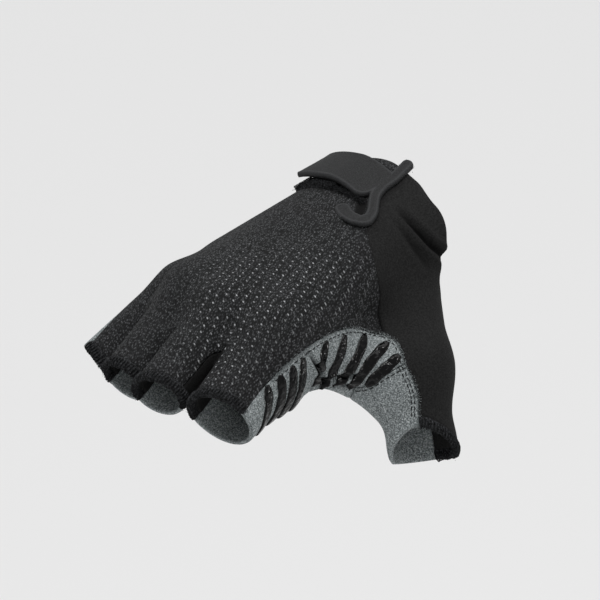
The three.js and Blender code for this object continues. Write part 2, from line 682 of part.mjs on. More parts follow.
// The finished object: one named mesh for each piece.
const looks = {
  knit: { color: '#34353a', roughness: 0.85 },
  microfibre: { color: '#26272b', roughness: 0.9 },
  suede: { color: '#66696a', roughness: 0.95 },
  hem: { color: '#1d1e21', roughness: 0.9 },
  rubber: { color: '#3b3c3f', roughness: 0.6 },
  bristle: { color: '#161719', roughness: 1 },
  silicone: { color: '#121315', roughness: 0.2 },
};
const materials = Object.fromEntries(Object.entries(looks)
  .map(([name, look]) => [name, new THREE.MeshStandardMaterial({ name, metalness: 0, ...look })]));

const glove = new THREE.Group();
glove.name = 'cycling_glove';

function add(name, geometry, material) {
  const mesh = new THREE.Mesh(geometry, material);
  mesh.name = name;
  glove.add(mesh);
}

add('back_panel', back_panel(), materials.knit);
add('palm_panel', sheet({ patches: palm_patches, inner: -suede_wall }), materials.suede);
add('thumb_back_panel', sheet({ patches: thumb_back_patches, inner: -microfibre_wall, rounds: 1 }), materials.microfibre);
add('thumb_palm_panel', sheet({ patches: thumb_palm_patches, inner: -suede_wall }), materials.suede);
['index_middle', 'middle_ring', 'ring_little'].forEach((pair, k) => {
  add(`fourchette_${pair}`, fourchette(k), materials.microfibre);
});
fingers.forEach(({ name }, k) => add(`hem_${name}`, hem(stalls[k].at_hem, k), materials.hem));
add('thumb_hem', hem(thumb_hem_point, null), materials.hem);
add('cuff_binding', sheet({ patches: [cuff_patch], outer: hem_rise, inner: -suede_wall, rounds: 0 }), materials.hem);
add('loop_patch', loop_patch(), materials.bristle);
add('closure_tab', closure_tab(), materials.rubber);
grip_rows.forEach((row, k) => {
  add(`grip_${String(k + 1).padStart(2, '0')}`, grip_bar(row), materials.silicone);
});

export default glove;
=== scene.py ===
# %% [markdown]
# A short-finger cycling glove
#
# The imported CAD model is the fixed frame: it says where each piece of the glove lies. This script dresses it.
# Each cloth panel is computed again on a finer grid, in the same place, with its folds, seams and threads,
# and gets a procedural material. Lengths of the glove are worked out in millimetres and put into the meshes
# in metres. The origin is the centre of the wrist opening, +X the thumb side, -Y the fingers, +Z the back.

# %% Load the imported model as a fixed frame
import math
from functools import reduce

import bpy
import numpy as np
from mathutils import Matrix


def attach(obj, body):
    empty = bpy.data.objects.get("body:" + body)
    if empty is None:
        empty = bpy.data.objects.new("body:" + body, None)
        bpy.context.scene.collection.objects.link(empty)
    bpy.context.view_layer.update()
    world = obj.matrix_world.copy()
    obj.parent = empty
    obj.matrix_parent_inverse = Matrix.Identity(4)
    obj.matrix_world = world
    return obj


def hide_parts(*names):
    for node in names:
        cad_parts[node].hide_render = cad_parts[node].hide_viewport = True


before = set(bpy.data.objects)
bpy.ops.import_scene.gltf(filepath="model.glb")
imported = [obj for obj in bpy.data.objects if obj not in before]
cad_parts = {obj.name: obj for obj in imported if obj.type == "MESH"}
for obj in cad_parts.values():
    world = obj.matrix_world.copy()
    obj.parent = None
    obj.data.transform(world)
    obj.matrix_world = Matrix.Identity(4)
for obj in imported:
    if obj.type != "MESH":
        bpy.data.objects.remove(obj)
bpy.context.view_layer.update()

print("CAD nodes:", len(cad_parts))

# %% [markdown]
# The form inside the glove
#
# A worn glove is full, so all its panels lie on one smooth closed form. Sculpting would give such a form too,
# but a formula can be asked for any point's height and slope. It is a union of rounded cones, one or two for
# each bone, that run softly into each other. The tables are shares of three named sizes.

# %% Sizes and the tables of cones
GLOVE_LENGTH = 140.0
PALM_BREADTH = 80.0
PALM_DEPTH = 34.0


def place(x, y, z):
    """Per cent of the breadth, of the length towards the fingers and of the depth, as a point in mm."""
    return np.array([x * PALM_BREADTH, -y * GLOVE_LENGTH, z * PALM_DEPTH]) / 100


def cone(row, size):
    """The two end balls of a rounded cone: centre and radius twice, the radii in per cent of a size."""
    return place(*row[:3]), row[3] * size / 100, place(*row[4:7]), row[7] * size / 100


PALM_CONES = [cone(row, PALM_DEPTH) for row in [
    (16, -10, 3, 50, 36, 61, 12, 41),
    (5, -11, 6, 51, 11, 66, 18, 41),
    (-5, -11, 3, 50, -14, 64, 9, 38),
    (-15, -10, -9, 48, -33, 59, -24, 31),
    (-15, 7, -27, 44, -32, 44, -40, 35),
    (12, 36, -29, 38, 44, 69, -27, 38),
]]
THUMB_CONES = [cone(row, PALM_BREADTH) for row in [
    (20, 9, -27, 20, 65, 28.5, -82, 18.8),
    (65, 28.5, -82, 18.1, 86, 37, -147, 15.6),
    (86, 37, -147, 15.6, 98, 41.5, -206, 13.8),
    (40, 50, -32, 15.6, 62, 36, -88, 15),
]]
CROTCH_CONES = [cone(row, PALM_BREADTH) for row in [
    (34, 60, 9, 15, 33, 73.6, 3, 11.2),
    (0, 62, 8, 15, 4, 77, 0, 11.2),
    (-24, 58, -16, 12.5, -26, 71, -20, 10.6),
]]
FINGER_CONES = [cone(row, PALM_BREADTH) for row in [
    (38, 64.3, 6, 15.6, 51, 93.6, -21, 13.6),
    (11.5, 67.9, 15, 14.9, 25, 103, -15, 12.3),
    (-15, 65.7, 3, 14.7, -4, 100, -32, 12),
    (-37, 60, -25, 13.8, -44, 91.5, -75, 12.1),
]]
INDEX_PAD = cone((42, 68.6, -24, 15, 52.5, 90, -34, 13.4), PALM_BREADTH)

PALM_BLEND = 0.47 * PALM_DEPTH
KNUCKLE_BLEND = 0.11 * PALM_BREADTH
THUMB_BLEND = 0.17 * PALM_BREADTH
WEB_BLEND = 0.15 * PALM_BREADTH
FINGER_BLEND = 0.015 * PALM_BREADTH
PAD_BLEND = 0.06 * PALM_BREADTH
ALL_FINGERS = -1
FAR_AWAY = 1000.0
print("Palm, mm:", PALM_BREADTH, "broad,", PALM_DEPTH, "deep")


# %% The height of points above the form, and its slope there
def cone_height(p, ball_and_ball):
    """Distance from the nearest point of the axis, less the radius there, and the gradient of that."""
    a, ra, b, rb = ball_and_ball
    d = b - a
    t = np.clip(((p - a) @ d) / (d @ d), 0, 1)
    off = p - a - t[..., None] * d
    length = np.maximum(np.linalg.norm(off, axis=-1), 1e-9)
    slant = np.where((t > 0) & (t < 1), (rb - ra) / (d @ d), 0)
    return length - (ra + (rb - ra) * t), off / length[..., None] - slant[..., None] * d


def soft_union(one, other, blend):
    """The smaller of two heights, lowered by a parabola where they differ by less than the blend."""
    (a, slope_a), (b, slope_b) = one, other
    near = np.maximum(blend - np.abs(a - b), 0) / blend
    share = np.where(a < b, 1 - near / 2, near / 2)[..., None]
    return np.minimum(a, b) - 0.25 * near ** 2 * blend, share * slope_a + (1 - share) * slope_b


def form(p, own=ALL_FINGERS):
    """Height of points above the form, and its gradient. A point on one finger ignores the others."""
    def stalls_and_crotches():
        for k, each in enumerate(FINGER_CONES):
            height, slope = cone_height(p, each)
            yield np.where((own == k) | (own == ALL_FINGERS), height, FAR_AWAY), slope
        yield from (cone_height(p, each) for each in CROTCH_CONES)

    palm = reduce(lambda s, c: soft_union(s, c, PALM_BLEND), (cone_height(p, c) for c in PALM_CONES))
    digits = reduce(lambda s, c: soft_union(s, c, FINGER_BLEND), stalls_and_crotches())
    pad, pad_slope = cone_height(p, INDEX_PAD)
    digits = soft_union(digits, (np.where(own <= 0, pad, FAR_AWAY), pad_slope), PAD_BLEND)
    thumb_root, thumb, thumb_end, web = (cone_height(p, c) for c in THUMB_CONES)
    thumb_side = soft_union(thumb_root, soft_union(thumb, thumb_end, PAD_BLEND), KNUCKLE_BLEND)
    thumb_side = soft_union(thumb_side, web, WEB_BLEND)
    return soft_union(soft_union(palm, digits, KNUCKLE_BLEND), thumb_side, THUMB_BLEND)


# %% Laying points on the form
LEAST_SLOPE = 0.04


def laid(p, height=0.0, own=ALL_FINGERS, rounds=12):
    """Points moved along the slope until they lie at a height above the form, by Newton's steps."""
    p = np.array(p, float)
    own = np.asarray(own)
    for _ in range(rounds):
        value, slope = form(p, own)
        p = p - slope * ((value - height) / np.maximum((slope ** 2).sum(-1), LEAST_SLOPE))[..., None]
    return p


def unit(v):
    """Vectors of length 1."""
    return v / np.maximum(np.linalg.norm(v, axis=-1, keepdims=True), 1e-9)


def outward(p, own=ALL_FINGERS):
    """The form's unit normal at points."""
    return unit(form(np.asarray(p, float), np.asarray(own))[1])


origin_height = float(form(np.zeros(3), np.asarray(ALL_FINGERS))[0])
print("Height of the origin above the form, mm:", round(origin_height, 2))

# %% [markdown]
# Charts and seams
#
# A seam is a smooth curve through a few chosen places. The curve is a Catmull-Rom spline, because it passes
# through its points. A chart is a straight axis with an angle and a distance round it, which suits places on
# a wrist, a finger or a thumb. Both are laid on the form afterwards, so the chosen places may be rough.


# %% Charts round an axis
def chart(origin, end, up):
    """An axis, the direction its angles start from and the direction of 90 degrees, the thumb side."""
    along = unit(end - origin)
    zenith = unit(up - (up @ along) * along)
    return origin, along, zenith, np.cross(zenith, along)


def chart_point(on, degrees, distance, radius):
    """The point at an angle, a distance along the axis and a radius from it."""
    origin, along, zenith, side = on
    angle = np.radians(degrees)
    across = np.cos(angle)[..., None] * zenith + np.sin(angle)[..., None] * side
    return origin + np.asarray(distance)[..., None] * along + np.asarray(radius)[..., None] * across


def chart_place(on, p):
    """Angle, distance and radius of points."""
    origin, along, zenith, side = on
    off = p - origin
    up, out = off @ zenith, off @ side
    return np.stack([np.degrees(np.arctan2(out, up)), off @ along, np.hypot(up, out)], axis=-1)


def met(on, degrees, distance, own=ALL_FINGERS):
    """Where lines from a chart's axis first meet the form, by steps a little shorter than the depth left."""
    degrees, distance = np.broadcast_arrays(np.asarray(degrees, float), np.asarray(distance, float))
    radius = np.zeros(degrees.shape)
    for _ in range(60):
        radius = radius - 0.9 * form(chart_point(on, degrees, distance, radius), np.asarray(own))[0]
    return chart_point(on, degrees, distance, radius)


UP = np.array([0.0, 0.0, 1.0])
hand_chart = chart(np.zeros(3), place(0, 100, -23), UP)
thumb_chart = chart(THUMB_CONES[1][0], THUMB_CONES[1][2], np.array([0, -0.3, 1]))
finger_charts = [chart(a, b, UP) for a, _, b, _ in FINGER_CONES]
print("Charts:", 2 + len(finger_charts))


# %% Smooth curves through chosen places
def even_steps(line, cuts):
    """Points at equal steps of length along a line of points."""
    run = np.concatenate([[0], np.cumsum(np.linalg.norm(np.diff(line, axis=0), axis=1))])
    at = np.linspace(0, run[-1], cuts + 1)
    return np.stack([np.interp(at, run, line[:, axis]) for axis in range(3)], axis=-1)


def spline(points, cuts):
    """A centripetal Catmull-Rom spline through points, cut into equal steps of its length."""
    points = np.array(points, float)
    p = np.array([2 * points[0] - points[1], *points, 2 * points[-1] - points[-2]])
    p0, p1, p2, p3 = p[:-3], p[1:-2], p[2:-1], p[3:]
    g0, g1, g2 = (np.sqrt(np.linalg.norm(b - a, axis=1))[:, None] for a, b in zip([p0, p1, p2], [p1, p2, p3]))
    leave = ((p1 - p0) / g0 - (p2 - p0) / (g0 + g1) + (p2 - p1) / g1) * g1
    reach = ((p2 - p1) / g1 - (p3 - p1) / (g1 + g2) + (p3 - p2) / g2) * g1
    w = np.linspace(0, 1, 40)[:, None, None]
    line = (2 * w ** 3 - 3 * w ** 2 + 1) * p1 + (w ** 3 - 2 * w ** 2 + w) * leave
    line = line + (3 * w ** 2 - 2 * w ** 3) * p2 + (w ** 3 - w ** 2) * reach
    return even_steps(line.transpose(1, 0, 2).reshape(-1, 3), cuts)


def curve(points, cuts, own=ALL_FINGERS):
    """A spline laid on the form, except for its two ends."""
    line = spline(points, cuts)
    line[0], line[-1] = points[0], points[-1]
    line[1:-1] = laid(line[1:-1], own=own)
    return line


def joined(*runs):
    """Runs of points that each start where the last one ended, as one run."""
    return np.concatenate([runs[0], *(run[1:] for run in runs[1:])])


def length_of(line):
    """Length of a line of points in mm."""
    return float(np.linalg.norm(np.diff(line, axis=0), axis=1).sum())


# %% [markdown]
# Patches
#
# A panel is cut from flat cloth and pulled over the form. Here it is a grid between four seams: a Coons
# patch, which adds the two rulings of the boundary and takes away their shared part. Round a finger the blend
# runs in the chart's angle, distance and radius, and elsewhere straight in space. Then it is laid down.


# %% Grids between four seams
def coons(s, n, w, e):
    """(1-v)s + vn + (1-u)w + ue, less the bilinear blend of the four corners."""
    u = np.linspace(0, 1, len(s))[None, :, None]
    v = np.linspace(0, 1, len(w))[:, None, None]
    sides = (1 - v) * s + v * n + (1 - u) * w[:, None] + u * e[:, None]
    return sides - (1 - u) * (1 - v) * s[0] - u * (1 - v) * s[-1] - (1 - u) * v * n[0] - u * v * n[-1]


def unwound(on, run, start):
    """A run's angles, distances and radii, with angles that never jump and begin near a start angle."""
    placed = chart_place(on, run)
    placed[:, 0] = np.unwrap(placed[:, 0], period=360)
    placed[:, 0] += 360 * round((start - placed[0, 0]) / 360)
    return placed


def bordered(grid, south, north, west, east):
    """A grid with its four border runs put in exactly."""
    grid[:, 0], grid[:, -1], grid[0], grid[-1] = west, east, south, north
    return grid


def patch(south, north, west, east, around=None, own=ALL_FINGERS):
    """The laid grid between four runs, and the finger that it belongs to."""
    if around is None:
        grid = coons(south, north, west, east)
    else:
        s = unwound(around, south, chart_place(around, south[0])[0])
        w = unwound(around, west, s[0, 0])
        e = unwound(around, east, s[-1, 0])
        n = unwound(around, north, w[-1, 0])
        blend = coons(s, n, w, e)
        grid = chart_point(around, blend[..., 0], blend[..., 1], blend[..., 2])
    return bordered(laid(grid, own=own), south, north, west, east), own


def bent_patch(south, north, west, middle, east):
    """Rows bent as parabolas through a middle run, with the first and last rows as given."""
    u = np.linspace(0, 1, len(south))[None, :, None]
    v = np.linspace(0, 1, len(west))[:, None, None]
    bent = (1 - u) * (1 - 2 * u) * west[:, None] + 4 * u * (1 - u) * middle[:, None]
    bent = bent + u * (2 * u - 1) * east[:, None]
    grid = bent + (south - bent[0]) * (1 - v) + (north - bent[-1]) * v
    return bordered(laid(grid), south, north, west, east), ALL_FINGERS


# %% [markdown]
# Where the seams run
#
# The places are the same as in the CAD source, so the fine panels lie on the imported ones. FINE is how many
# cells the fine grid has for each CAD cell: 6 gives cells of about 1 mm, which is small enough for folds.
# The side by the little finger is called the outer one.

# %% The wrist edge and the crotches between the fingers
FINE = 6
HEM_WIDTH, PALM_EDGE, PANEL_INSET = 3.6, 0.15, 0.3
CROTCH_CUTS, HEM_CUTS = 3, 4
BACK_SEAM, THUMB_SEAM, OUTER_SEAM = 17, 130, -105

# Columns: angle round the wrist, how far up the glove its edge lies there, in per cent of the length.
CUFF_ROWS = np.array([(-180, 5), (-120, 3), (-60, -1.5), (0, -3.5), (36, -2.4), (60, -0.6), (106, 7.6),
                      (130, 8.4), (180, 5)], float)


def cuff_point(degrees, inset):
    """Points round the wrist at a distance from its edge, which runs in smooth steps between the rows."""
    angle = (np.asarray(degrees, float) + 180) % 360 - 180
    k = np.clip(np.searchsorted(CUFF_ROWS[:, 0], angle), 1, len(CUFF_ROWS) - 1)
    t = (angle - CUFF_ROWS[k - 1, 0]) / (CUFF_ROWS[k, 0] - CUFF_ROWS[k - 1, 0])
    share = CUFF_ROWS[k - 1, 1] + (CUFF_ROWS[k, 1] - CUFF_ROWS[k - 1, 1]) * t * t * (3 - 2 * t)
    return met(hand_chart, degrees, share * GLOVE_LENGTH / 100 + inset)


def cuff_run(start, end, cuts):
    """The panels' edge round the wrist."""
    return cuff_point(np.linspace(start, end, cuts + 1), PANEL_INSET)


def crotch_run(k):
    """The arc over the end of a crotch cone, from the back of the hand to the palm."""
    _, _, centre, radius = CROTCH_CONES[k]
    angle = np.radians(np.linspace(55, -55, CROTCH_CUTS * FINE + 1))[:, None]
    return laid(centre + radius * np.concatenate([0 * angle, -np.cos(angle), np.sin(angle)], axis=1))


crotches = [crotch_run(k) for k in range(3)]
print("Crotch seams, mm:", [round(length_of(run), 1) for run in crotches])

# %% The finger stalls
# Columns: share of the finger where the stall starts, share where it ends, lean of that end, the four seam
# angles, further turn of the outer seam by the hem, cells over the back and over the palm.
STALL_ROWS = [
    (0.42, 0.90, -0.055, (-65, 74, 74, 245), 0, 5, 6),
    (0.29, 0.85, -0.035, (-65, 65, 115, 245), 0, 5, 5),
    (0.35, 0.90, 0.0, (-65, 65, 115, 245), 0, 5, 5),
    (0.44, 0.92, 0.02, (-48, 65, 115, 312), 32, 4, 8),
]


def stall(k):
    """The border runs of one finger's stall, by name."""
    root, hem, lean, seams, turn, back_cuts, palm_cuts = STALL_ROWS[k]
    outer_back, thumb_back, thumb_palm, outer_palm = seams
    axis = finger_charts[k]
    length = np.linalg.norm(FINGER_CONES[k][2] - FINGER_CONES[k][0])

    def hem_distance(degrees, inset):
        return length * (hem + lean * np.sin(np.radians(degrees))) - inset

    def at_root(degrees):
        return met(axis, degrees, length * root, k)

    def at_hem(degrees, inset=HEM_WIDTH):
        return met(axis, degrees, hem_distance(degrees, inset), k)

    def corner(crotch, end, degrees):
        return crotches[crotch][end] if 0 <= crotch < 3 else at_root(degrees)

    def root_arc(start, end, first, last, cuts):
        middle = [at_root(first + (last - first) * share) for share in (0.25, 0.5, 0.75)]
        return curve([start, *middle, end], cuts * FINE, k)

    def hem_arc(first, last, cuts, inset=HEM_WIDTH):
        return at_hem(np.linspace(first, last, cuts * FINE + 1), inset)

    def side(start, degrees, twist=0, inset=HEM_WIDTH):
        half_way = 0.5 * (chart_place(axis, start)[1] + hem_distance(degrees, inset))
        middle = met(axis, degrees + twist / 2, half_way, k)
        return curve([start, middle, at_hem(degrees + twist, inset)], HEM_CUTS * FINE, k)

    tb, tp = corner(k - 1, 0, thumb_back), corner(k - 1, -1, thumb_palm)
    op, ob = corner(k, -1, outer_palm), corner(k, 0, outer_back)
    return {
        "axis": axis, "own": k, "at_hem": at_hem,
        "back_root": root_arc(ob, tb, outer_back, thumb_back, back_cuts),
        "back_hem": hem_arc(outer_back + turn, thumb_back, back_cuts),
        "palm_root": root_arc(tp, op, thumb_palm, outer_palm, palm_cuts),
        "palm_hem": hem_arc(thumb_palm, outer_palm + turn, palm_cuts, PALM_EDGE),
        "palm_thumb_side": side(tp, thumb_palm, 0, PALM_EDGE),
        "palm_outer_side": side(op, outer_palm, turn, PALM_EDGE),
        "thumb_side_hem": hem_arc(thumb_back, thumb_palm, CROTCH_CUTS),
        "outer_side_hem": hem_arc(outer_palm, outer_back + 360, CROTCH_CUTS),
        "outer_back_side": side(ob, outer_back, turn), "thumb_back_side": side(tb, thumb_back),
        "thumb_palm_side": side(tp, thumb_palm), "outer_palm_side": side(op, outer_palm, turn),
    }


stalls = [stall(k) for k in range(4)]
print("Stall lengths, mm:", [round(length_of(each["thumb_back_side"]), 1) for each in stalls])

# %% The thumb's hem
THUMB_LENGTH = np.linalg.norm(THUMB_CONES[1][2] - THUMB_CONES[1][0])
HEM_TOP, HEM_DROP, HEM_LEAN, HEM_SPAN = 0.79, 0.4, 8, 110
HEM_BACK_SEAM, HEM_PALM_SEAM = 12, 170


def thumb_hem_point(degrees, inset=HEM_WIDTH):
    """The thumb's hem, lowest over the nail and longer towards the palm."""
    turned = np.abs((np.asarray(degrees, float) - HEM_LEAN + 180) % 360 - 180)
    t = np.clip(turned / HEM_SPAN, 0, 1)
    return met(thumb_chart, degrees, THUMB_LENGTH * (HEM_TOP + HEM_DROP * t * t * (3 - 2 * t)) - inset)


thumb_hem_back, thumb_hem_palm = thumb_hem_point(HEM_BACK_SEAM), thumb_hem_point(HEM_PALM_SEAM)
bound_arc = thumb_hem_point(np.linspace(HEM_BACK_SEAM, HEM_PALM_SEAM, 50))
print("Thumb hem, mm over the back:", round(length_of(bound_arc), 1))

# %% The seams over the hand
BACK_CUTS, WEB_CUTS, CORNER_CUTS, GATE_CUTS, KNUCKLE_CUTS, THUMB_CUTS, HIDDEN_CUTS = 7, 5, 4, 4, 4, 4, 6
CUFF_TO_HIDDEN = BACK_CUTS + CORNER_CUTS
THUMB_COLUMNS = 12
BACK_COLUMNS = sum(row[5] for row in STALL_ROWS)
PALM_COLUMNS = sum(row[6] for row in STALL_ROWS)


def seam(places, cuts):
    """A seam through places, each given as per cent or as a point that another seam ends at."""
    return curve([place(*at) if isinstance(at, tuple) else at for at in places], cuts * FINE)


def on_hand(rows):
    """Rows of angle and share of the length, as points on the form."""
    return [met(hand_chart, angle, share * GLOVE_LENGTH / 100) for angle, share in rows]


web_corner = laid(place(57, 34, -30))
thumb_corner = laid(place(75, 36, -46))
hidden_corner = laid(place(61, 20.7, -115))
gate_palm = laid(place(62.5, 48.6, -67))
gate_back = laid(place(58, 61.6, 14))
seam_back = seam([cuff_point(BACK_SEAM, PANEL_INSET), (13, 10, 67), (17, 13.5, 65), (25.6, 22.4, 60),
                  (37.4, 27, 47), (45, 28.9, 26), (47.6, 29.3, -5), web_corner], BACK_CUTS)
seam_web = seam([web_corner, (53.4, 38, -20), (54.6, 45.4, 0), (55.6, 53, 9), gate_back], WEB_CUTS)
seam_knuckle = seam([gate_back, (59, 67.7, 13), stalls[0]["thumb_back_side"][0]], KNUCKLE_CUTS)
seam_corner = seam([web_corner, (65.8, 33.7, -33), thumb_corner], CORNER_CUTS)
seam_thumb = seam([thumb_corner, (80.8, 36.4, -61), (85, 37, -79), thumb_hem_back], THUMB_CUTS)
seam_thumb_base = seam([thumb_corner, (71, 42, -54), (67, 46, -64), gate_palm], WEB_CUTS)
seam_gate = seam([gate_palm, (60.6, 55.7, -26), gate_back], GATE_CUTS)
seam_hidden = seam([hidden_corner, (54, 26.5, -123), (51.5, 34, -118), (52.5, 44, -100), gate_palm],
                   HIDDEN_CUTS)
seam_thumb_palm = seam([hidden_corner, met(thumb_chart, HEM_PALM_SEAM, 0.55 * THUMB_LENGTH), thumb_hem_palm],
                       THUMB_CUTS)
seam_palm_heel = seam([cuff_point(THUMB_SEAM, PANEL_INSET), (50, 15.7, -91), hidden_corner], CUFF_TO_HIDDEN)
back_edge = joined(seam_back, seam_web, seam_knuckle)
palm_edge = joined(seam_palm_heel, seam_hidden, seam_gate, seam_knuckle)
outer_places = [cuff_point(OUTER_SEAM, PANEL_INSET), *on_hand([(-101, 28), (-97, 50), (-95, 63)]),
                stalls[3]["outer_back_side"][0]]
print("Seam of the back, mm:", round(length_of(back_edge), 1))

# %% The patches of each panel
back_patches = [
    patch(cuff_run(BACK_SEAM, OUTER_SEAM, BACK_COLUMNS * FINE),
          joined(*(each["back_root"][::-1] for each in stalls)), back_edge,
          curve(outer_places, len(back_edge) - 1), hand_chart),
    *(patch(each["back_root"], each["back_hem"], each["outer_back_side"], each["thumb_back_side"],
            each["axis"], each["own"]) for each in stalls),
]
palm_patches = [
    patch(cuff_run(THUMB_SEAM, 360 + OUTER_SEAM, PALM_COLUMNS * FINE),
          joined(*(each["palm_root"] for each in stalls)), palm_edge,
          curve(outer_places, len(palm_edge) - 1), hand_chart),
    patch(seam_gate, seam_corner[::-1], seam_thumb_base[::-1], seam_web[::-1]),
    *(patch(each["palm_root"], each["palm_hem"], each["palm_thumb_side"], each["palm_outer_side"],
            each["axis"], each["own"]) for each in stalls),
]
thumb_ridge = seam([cuff_point(80, PANEL_INSET), (60, 15.5, -44), (74.8, 19, -59), (83, 22.4, -75.6),
                    (88.5, 26.5, -115), thumb_hem_point(93)], CUFF_TO_HIDDEN + THUMB_CUTS)
thumb_back_patches = [bent_patch(
    cuff_run(BACK_SEAM, THUMB_SEAM, THUMB_COLUMNS * FINE),
    thumb_hem_point(np.linspace(HEM_BACK_SEAM, HEM_PALM_SEAM, THUMB_COLUMNS * FINE + 1)),
    joined(seam_back, seam_corner, seam_thumb), thumb_ridge, joined(seam_palm_heel, seam_thumb_palm))]
round_the_palm = np.linspace(HEM_BACK_SEAM, HEM_PALM_SEAM - 360, (WEB_CUTS + HIDDEN_CUTS) * FINE + 1)
thumb_palm_patches = [patch(
    joined(seam_thumb_base, seam_hidden[::-1]), thumb_hem_point(round_the_palm, PALM_EDGE),
    seam([*seam_thumb[[0, 8, 16]], thumb_hem_back, thumb_hem_point(HEM_BACK_SEAM, PALM_EDGE)], THUMB_CUTS),
    seam([*seam_thumb_palm[[0, 12]], thumb_hem_palm, thumb_hem_point(HEM_PALM_SEAM, PALM_EDGE)], THUMB_CUTS),
    thumb_chart)]
fourchette_patches = [[
    patch(crotches[k], a["outer_side_hem"][::-1], a["outer_back_side"], a["outer_palm_side"], a["axis"], k),
    patch(crotches[k], b["thumb_side_hem"], b["thumb_back_side"], b["thumb_palm_side"], b["axis"], k + 1),
] for k, (a, b) in enumerate(zip(stalls, stalls[1:]))]
print("Grid cells of the back:", sum(grid.shape[0] * grid.shape[1] for grid, _ in back_patches))

# %% [markdown]
# From patches to a cloth panel
#
# The patches of one panel share border points. They are welded, and their inner points are evened out by
# sliding each towards the middle of its neighbours along the surface, which undoes bunched cells. The edge
# rolls down into the seam, as sewn cloth does, and a second surface below gives the cloth its thickness.

# %% Weld and even out
WELD_DISTANCE = 0.05


def welded(patches):
    """One list of points and owners, and each patch as a grid of point numbers."""
    points = np.concatenate([grid.reshape(-1, 3) for grid, _ in patches])
    owners = np.concatenate([np.full(grid.shape[0] * grid.shape[1], own) for grid, own in patches])
    ids, start, border = [], 0, []
    for grid, _ in patches:
        numbers = start + np.arange(grid.shape[0] * grid.shape[1]).reshape(grid.shape[:2])
        border.append(np.concatenate([numbers[0], numbers[-1], numbers[1:-1, 0], numbers[1:-1, -1]]))
        ids.append(numbers)
        start += numbers.size
    border = np.sort(np.concatenate(border))
    apart = np.linalg.norm(points[border][:, None] - points[border][None], axis=-1)
    same = np.arange(len(points))
    same[border] = border[(apart < WELD_DISTANCE).argmax(axis=1)]
    kept, back = np.unique(same, return_inverse=True)
    back = back.reshape(-1)
    return points[kept], owners[kept], [back[numbers] for numbers in ids]


def cells(ids, points, own):
    """The four corners of each cell of a grid, turned so that they face out of the form."""
    quads = np.stack([ids[:-1, :-1], ids[:-1, 1:], ids[1:, 1:], ids[1:, :-1]], axis=-1).reshape(-1, 4)
    a, b, d = points[quads[:, 0]], points[quads[:, 1]], points[quads[:, 3]]
    facing = (np.cross(b - a, d - a) * outward(a, own)).sum()
    return quads if facing > 0 else quads[:, ::-1]


def sides_of(quads):
    """The four directed sides of each cell, as pairs of point numbers."""
    return np.concatenate([quads[:, [i, (i + 1) % 4]] for i in range(4)])


def free_edges(quads, count):
    """Directed sides that only one cell has."""
    ends = sides_of(quads)
    code, reverse = ends[:, 0] * count + ends[:, 1], ends[:, 1] * count + ends[:, 0]
    return ends[~np.isin(code, reverse)]


def evened(points, owners, quads, edge, rounds):
    """Inner points slid along the surface to the middle of their neighbours, and laid again."""
    ends = np.unique(np.sort(sides_of(quads), axis=1), axis=0)
    both = np.concatenate([ends, ends[:, ::-1]])
    number = np.bincount(both[:, 0], minlength=len(points))[:, None]
    free = np.ones(len(points), bool)
    free[edge.ravel()] = False
    for _ in range(rounds):
        normal = outward(points, owners)
        for _ in range(12):
            beside = points[both[:, 1]]
            total = np.stack([np.bincount(both[:, 0], beside[:, axis], len(points)) for axis in range(3)], -1)
            step = total / number - points
            step -= (step * normal).sum(-1, keepdims=True) * normal
            points = points + 0.9 * step * free[:, None]
        points[free] = laid(points[free], own=owners[free], rounds=3)
    return points


# %% Distances to a seam or a fold
BLOCK = 3000


def nearest(points, samples):
    """Distance from each point to its nearest sample and that sample's number, a block at a time."""
    best, number = np.full(len(points), FAR_AWAY), np.zeros(len(points), int)
    for start in range(0, len(points), BLOCK):
        apart = np.linalg.norm(points[start:start + BLOCK, None] - samples[None], axis=-1)
        best[start:start + BLOCK], number[start:start + BLOCK] = apart.min(axis=1), apart.argmin(axis=1)
    return best, number


def fold(points, places, depth, width, ridge=0.5):
    """A valley along a line of places, with a soft ridge on both sides, that fades out at both ends."""
    line = curve([laid(place(*at)) for at in places], 80)
    distance, number = nearest(points, line)
    fade = np.sin(np.pi * np.clip(number / (len(line) - 1), 0.02, 0.98)) ** 0.6
    inside = np.exp(-(distance / width) ** 2)
    beside = np.exp(-((distance - 1.9 * width) / width) ** 2)
    return depth * fade * (ridge * beside - inside)


def folds(points, rows, ridge):
    """Several folds together: rows of places, depth and width."""
    return sum(fold(points, places, depth, width, ridge) for places, depth, width in rows)


def rolled(distance, depth, width):
    """How far the cloth's edge turns down: a quarter ellipse that ends level with the panel."""
    t = np.clip(distance / width, 0, 1)
    return -depth * (1 - np.sqrt(np.maximum(1 - (1 - t) ** 2, 0)))


# %% A panel's points, and the wall made from them
class Panel:
    """A panel's points on the form, its cells, its edge and the distance of each point from that edge."""

    def __init__(self, patches, rounds=12, margin=0.15):
        points, self.owners, ids = welded(patches)
        self.quads = np.concatenate([cells(each, points, own) for each, (_, own) in zip(ids, patches)])
        self.edge = free_edges(self.quads, len(points))
        self.base = evened(points, self.owners, self.quads, self.edge, rounds)
        after, before = dict(self.edge.tolist()), dict(self.edge[:, ::-1].tolist())
        rim = self.edge[:, 0]
        ahead = np.array([after[k] for k in rim.tolist()])
        behind = np.array([before[k] for k in rim.tolist()])
        normal = outward(self.base[rim], self.owners[rim])
        first = unit(np.cross(normal, self.base[rim] - self.base[behind]))
        second = unit(np.cross(normal, self.base[ahead] - self.base[rim]))
        bisector = unit(first + second)
        reach = margin / np.maximum((bisector * first).sum(-1, keepdims=True), 0.3)
        seam_line = self.base[rim].copy()
        self.base[rim] += bisector * reach
        step = self.base[ahead] - self.base[rim]
        self.to_edge = nearest(self.base, np.concatenate([seam_line + step * t for t in (0, 0.33, 0.67)]))[0]


